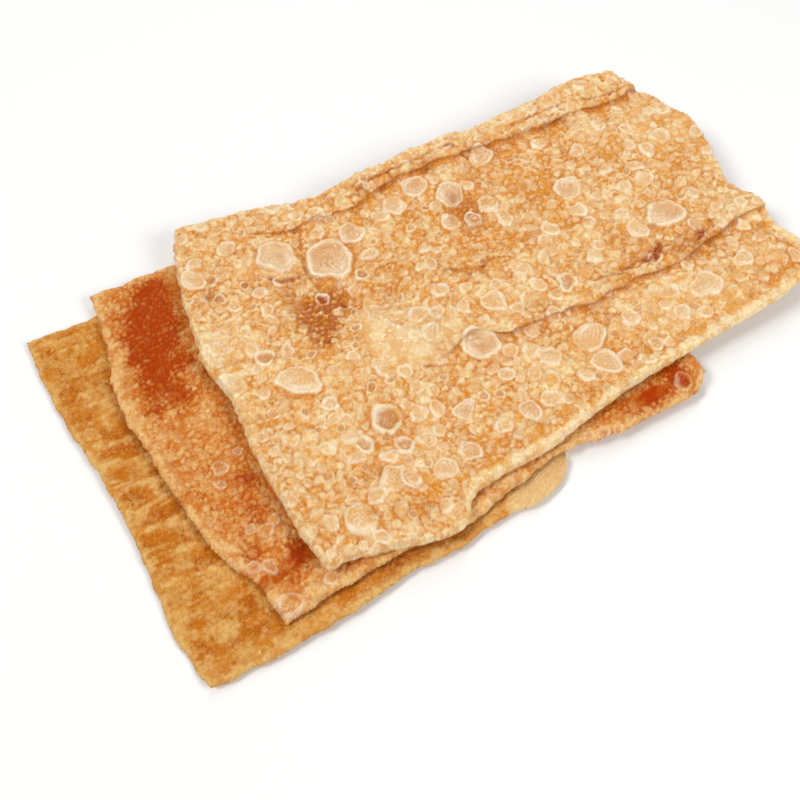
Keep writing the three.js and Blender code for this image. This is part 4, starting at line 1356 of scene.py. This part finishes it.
class TOFU_OT_bottom_sheet(bpy.types.Operator):
    """Builds the bottom sheet: thin, straw-coloured and nearly smooth"""

    bl_idname = "tofu.bottom_sheet"
    bl_label = "Bottom Sheet"

    def execute(self, context):
        sizes, colours = context.scene.tofu_sizes, context.scene.tofu_colours
        sides = sides_of(BOTTOM)
        skin = bottom_skin(sides, sizes)
        cuts = grid_cuts(sides, sizes.spacing, rows=(1.55, [(0, 8, 1.1)]), columns=(2.1, [(0, 26, 1.3)]))
        panels = [("bottom_sheet_skin", (0, 1), (0, 1))]
        # Brown and deep also serve the painted shade of the front trough and the ripple hollows.
        layers = {
            "even": colours.straw[:], "pale": srgb("#e9bb6c"), "rose": srgb("#eabb88"),
            "membrane": srgb("#f0cf98"), "rim": srgb("#f8dfae"), "brown": srgb("#b05602"),
            "deep": colours.scorched[:], "fleck": srgb("#e6b05c"), "glow": srgb("#cc740a"),
        }
        material = fried_skin("fried_skin_straw", layers, roughness=0.42, coat=0.12, grain_mm=1.0)
        build_sheet(BOTTOM, sides, panels, cuts, bottom_mid_height, skin, bottom_tints, material)
        return {"FINISHED"}


class TOFU_OT_middle_sheet(bpy.types.Operator):
    """Builds the middle sheet: russet, with fine blisters and a pale crinkled edge"""

    bl_idname = "tofu.middle_sheet"
    bl_label = "Middle Sheet"

    def execute(self, context):
        sizes, colours = context.scene.tofu_sizes, context.scene.tofu_colours
        sides = sides_of(MIDDLE)
        skin = middle_skin(sides, sizes)
        columns = (2.1, [(0, 32, 1.15), (1, 12, 1.3)])
        cuts = grid_cuts(sides, sizes.spacing, rows=(1.5, [(0, 9, 1.05)]), columns=columns)
        panels = [("middle_sheet_skin", (0, 1), (0, 1))]
        # Rim is the colour of painted highlights. Brown and deep also serve painted shade in hollows.
        layers = {
            "even": tuple(0.6 * g + 0.4 * r for g, r in zip(colours.golden, colours.russet)),
            "pale": srgb("#f3c87e"), "rose": srgb("#f3c49c"), "membrane": srgb("#d8954e"),
            "rim": srgb("#fff0da"), "brown": srgb("#bb5a04"), "deep": colours.russet[:],
            "fleck": srgb("#eeaa5a"), "glow": srgb("#d0690a"),
        }
        material = fried_skin("fried_skin_russet", layers, roughness=0.34, coat=0.08, grain_mm=0.9)
        build_sheet(MIDDLE, sides, panels, cuts, middle_mid_height, skin, middle_tints, material)
        films = film_piece("middle_blister_films", skin, middle_mid_height, MIDDLE, sizes.blister_height)
        dress(films, clear_film("blown_film_middle", srgb("#fbe3bf")))
        return {"FINISHED"}


class TOFU_OT_top_sheet(bpy.types.Operator):
    """Builds the top sheet: golden, folded over on itself and covered in blisters"""

    bl_idname = "tofu.top_sheet"
    bl_label = "Top Sheet"

    def execute(self, context):
        sizes, colours = context.scene.tofu_sizes, context.scene.tofu_colours
        sides = sides_of(TOP)
        skin = top_skin(sides, sizes)
        fold, crease = UPPER_FOLD["row"], BACK_TURN["row"]
        ends = [(0, 1.6, 0.7), (1, 1.6, 0.7)]
        rows = (1, [*ends, (fold, 2.8, 0.6), (crease, 2.8, 0.6)])
        cuts = grid_cuts(sides, sizes.spacing, rows=rows, columns=(1.05, ends))
        panels = [
            ("top_sheet_front_panel", (0, fold), (0, 1)),
            ("top_sheet_main_panel_left", (fold, crease), (0, 0.5)),
            ("top_sheet_main_panel_right", (fold, crease), (0.5, 1)),
            ("top_sheet_back_strip", (crease, 1), (0, 1)),
        ]
        # Rim is the colour of painted highlights. Brown and deep also serve painted shade in folds, grooves
        # and hollows, and pale serves painted light.
        layers = {
            "even": colours.golden[:], "pale": colours.cream[:], "rose": srgb("#fddcc4"),
            "membrane": srgb("#edc592"), "rim": srgb("#fff3de"), "brown": colours.amber[:],
            "deep": colours.scorched[:], "fleck": srgb("#fbdfb0"), "glow": srgb("#e5940f"),
        }
        material = fried_skin("fried_skin_golden", layers, roughness=0.36, coat=0.5, grain_mm=0.9)
        build_sheet(TOP, sides, panels, cuts, top_mid_height, skin, top_tints, material, fold_overhang)
        films = film_piece("top_blister_films", skin, top_mid_height, TOP, sizes.blister_height)
        dress(films, clear_film("blown_film_top", srgb("#fdeccb")))
        return {"FINISHED"}


class TOFU_OT_stage(bpy.types.Operator):
    """Adds the pale floor, the soft lights and the camera"""

    bl_idname = "tofu.stage"
    bl_label = "Stage"

    def execute(self, context):
        studio = context.scene.tofu_studio
        mesh = bpy.data.meshes.new("floor")
        mesh.from_pydata([(-3, -3, 0), (3, -3, 0), (3, 3, 0), (-3, 3, 0)], [], [(0, 1, 2, 3)])
        floor = bpy.data.objects.new("floor", mesh)
        context.scene.collection.objects.link(floor)
        paper = bpy.data.materials.new("matt_white_board")
        paper.use_nodes = True
        paper_inputs = paper.node_tree.nodes["Principled BSDF"].inputs
        paper_inputs["Base Color"].default_value = (0.9, 0.9, 0.9, 1)
        paper_inputs["Roughness"].default_value = 0.9
        mesh.materials.append(paper)

        world = bpy.data.worlds.new("soft_sky")
        world.use_nodes = True
        sky_inputs = world.node_tree.nodes["Background"].inputs
        sky_inputs["Color"].default_value = (1, 1, 1, 1)
        sky_inputs["Strength"].default_value = studio.sky
        context.scene.world = world

        # A large soft light from the left, weaker ones round it, and a small one for glints: each
        # light's place, its size, its share of the key light's power, and its colour.
        for name, place, size, share, colour in (
            ("key_light", (-0.86, 0.2, 1.02), 0.44, 1, (1, 0.98, 0.95)),
            ("back_light", (0.3, 0.4, 0.5), 0.2, 0.08, (1, 1, 1)),
            ("front_light", (0.35, -0.6, 0.55), 0.35, 0.38, (1, 0.99, 0.97)),
            ("glint_light", (0.05, 0.35, 0.7), 0.07, 0.06, (1, 1, 1)),
        ):
            light = bpy.data.lights.new(name, "AREA")
            light.shape = "SQUARE"
            light.size = size
            light.energy = studio.key_power * share
            light.color = colour
            lamp = bpy.data.objects.new(name, light)
            lamp.location = place
            lamp.rotation_euler = Vector(place).to_track_quat("Z", "Y").to_euler()
            context.scene.collection.objects.link(lamp)

        camera = bpy.data.cameras.new("photo_camera")
        camera.sensor_fit = "HORIZONTAL"
        camera.sensor_width = 36.0
        camera.lens = studio.lens
        camera.clip_start = 0.01
        camera.clip_end = 20
        level, up = math.cos(studio.elevation), math.sin(studio.elevation)
        back = Vector((math.sin(studio.azimuth) * level, -math.cos(studio.azimuth) * level, up))
        rig = bpy.data.objects.new("photo_camera", camera)
        turn = back.to_track_quat("Z", "Y").to_matrix().to_4x4() @ Matrix.Rotation(studio.roll, 4, "Z")
        place = Vector((*studio.target, 0)) + back * studio.distance
        rig.matrix_world = Matrix.Translation(place) @ turn
        context.scene.collection.objects.link(rig)
        context.scene.camera = rig
        context.scene.view_settings.view_transform = "Standard"
        return {"FINISHED"}


class TOFU_PT_panel(bpy.types.Panel):
    """Lists the steps that build the stack"""

    bl_idname = "TOFU_PT_panel"
    bl_label = "Fried Tofu Skin"
    bl_space_type = "VIEW_3D"
    bl_region_type = "UI"
    bl_category = "Tofu Skin"

    def draw(self, context):
        column = self.layout.column()
        for group in (context.scene.tofu_sizes, context.scene.tofu_colours, context.scene.tofu_studio):
            for name in group.bl_rna.properties.keys():
                if name not in ("rna_type", "name"):
                    column.prop(group, name)
        for operator in STEPS:
            column.operator(operator.bl_idname)


STEPS = (TOFU_OT_bottom_sheet, TOFU_OT_middle_sheet, TOFU_OT_top_sheet, TOFU_OT_stage)
GROUPS = {"tofu_sizes": TofuSkinSizes, "tofu_colours": TofuSkinColours, "tofu_studio": TofuSkinStudio}


def register():
    for group in GROUPS.values():
        bpy.utils.register_class(group)
    for name, group in GROUPS.items():
        setattr(bpy.types.Scene, name, PointerProperty(type=group))
    for operator in (*STEPS, TOFU_PT_panel):
        bpy.utils.register_class(operator)


def unregister():
    for operator in (TOFU_PT_panel, *reversed(STEPS)):
        bpy.utils.unregister_class(operator)
    for name in GROUPS:
        delattr(bpy.types.Scene, name)
    for group in GROUPS.values():
        bpy.utils.unregister_class(group)


def main():
    register()
    bpy.ops.tofu.bottom_sheet()
    bpy.ops.tofu.middle_sheet()
    bpy.ops.tofu.top_sheet()
    bpy.ops.tofu.stage()
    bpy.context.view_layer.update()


if __name__ == "__main__":
    main()
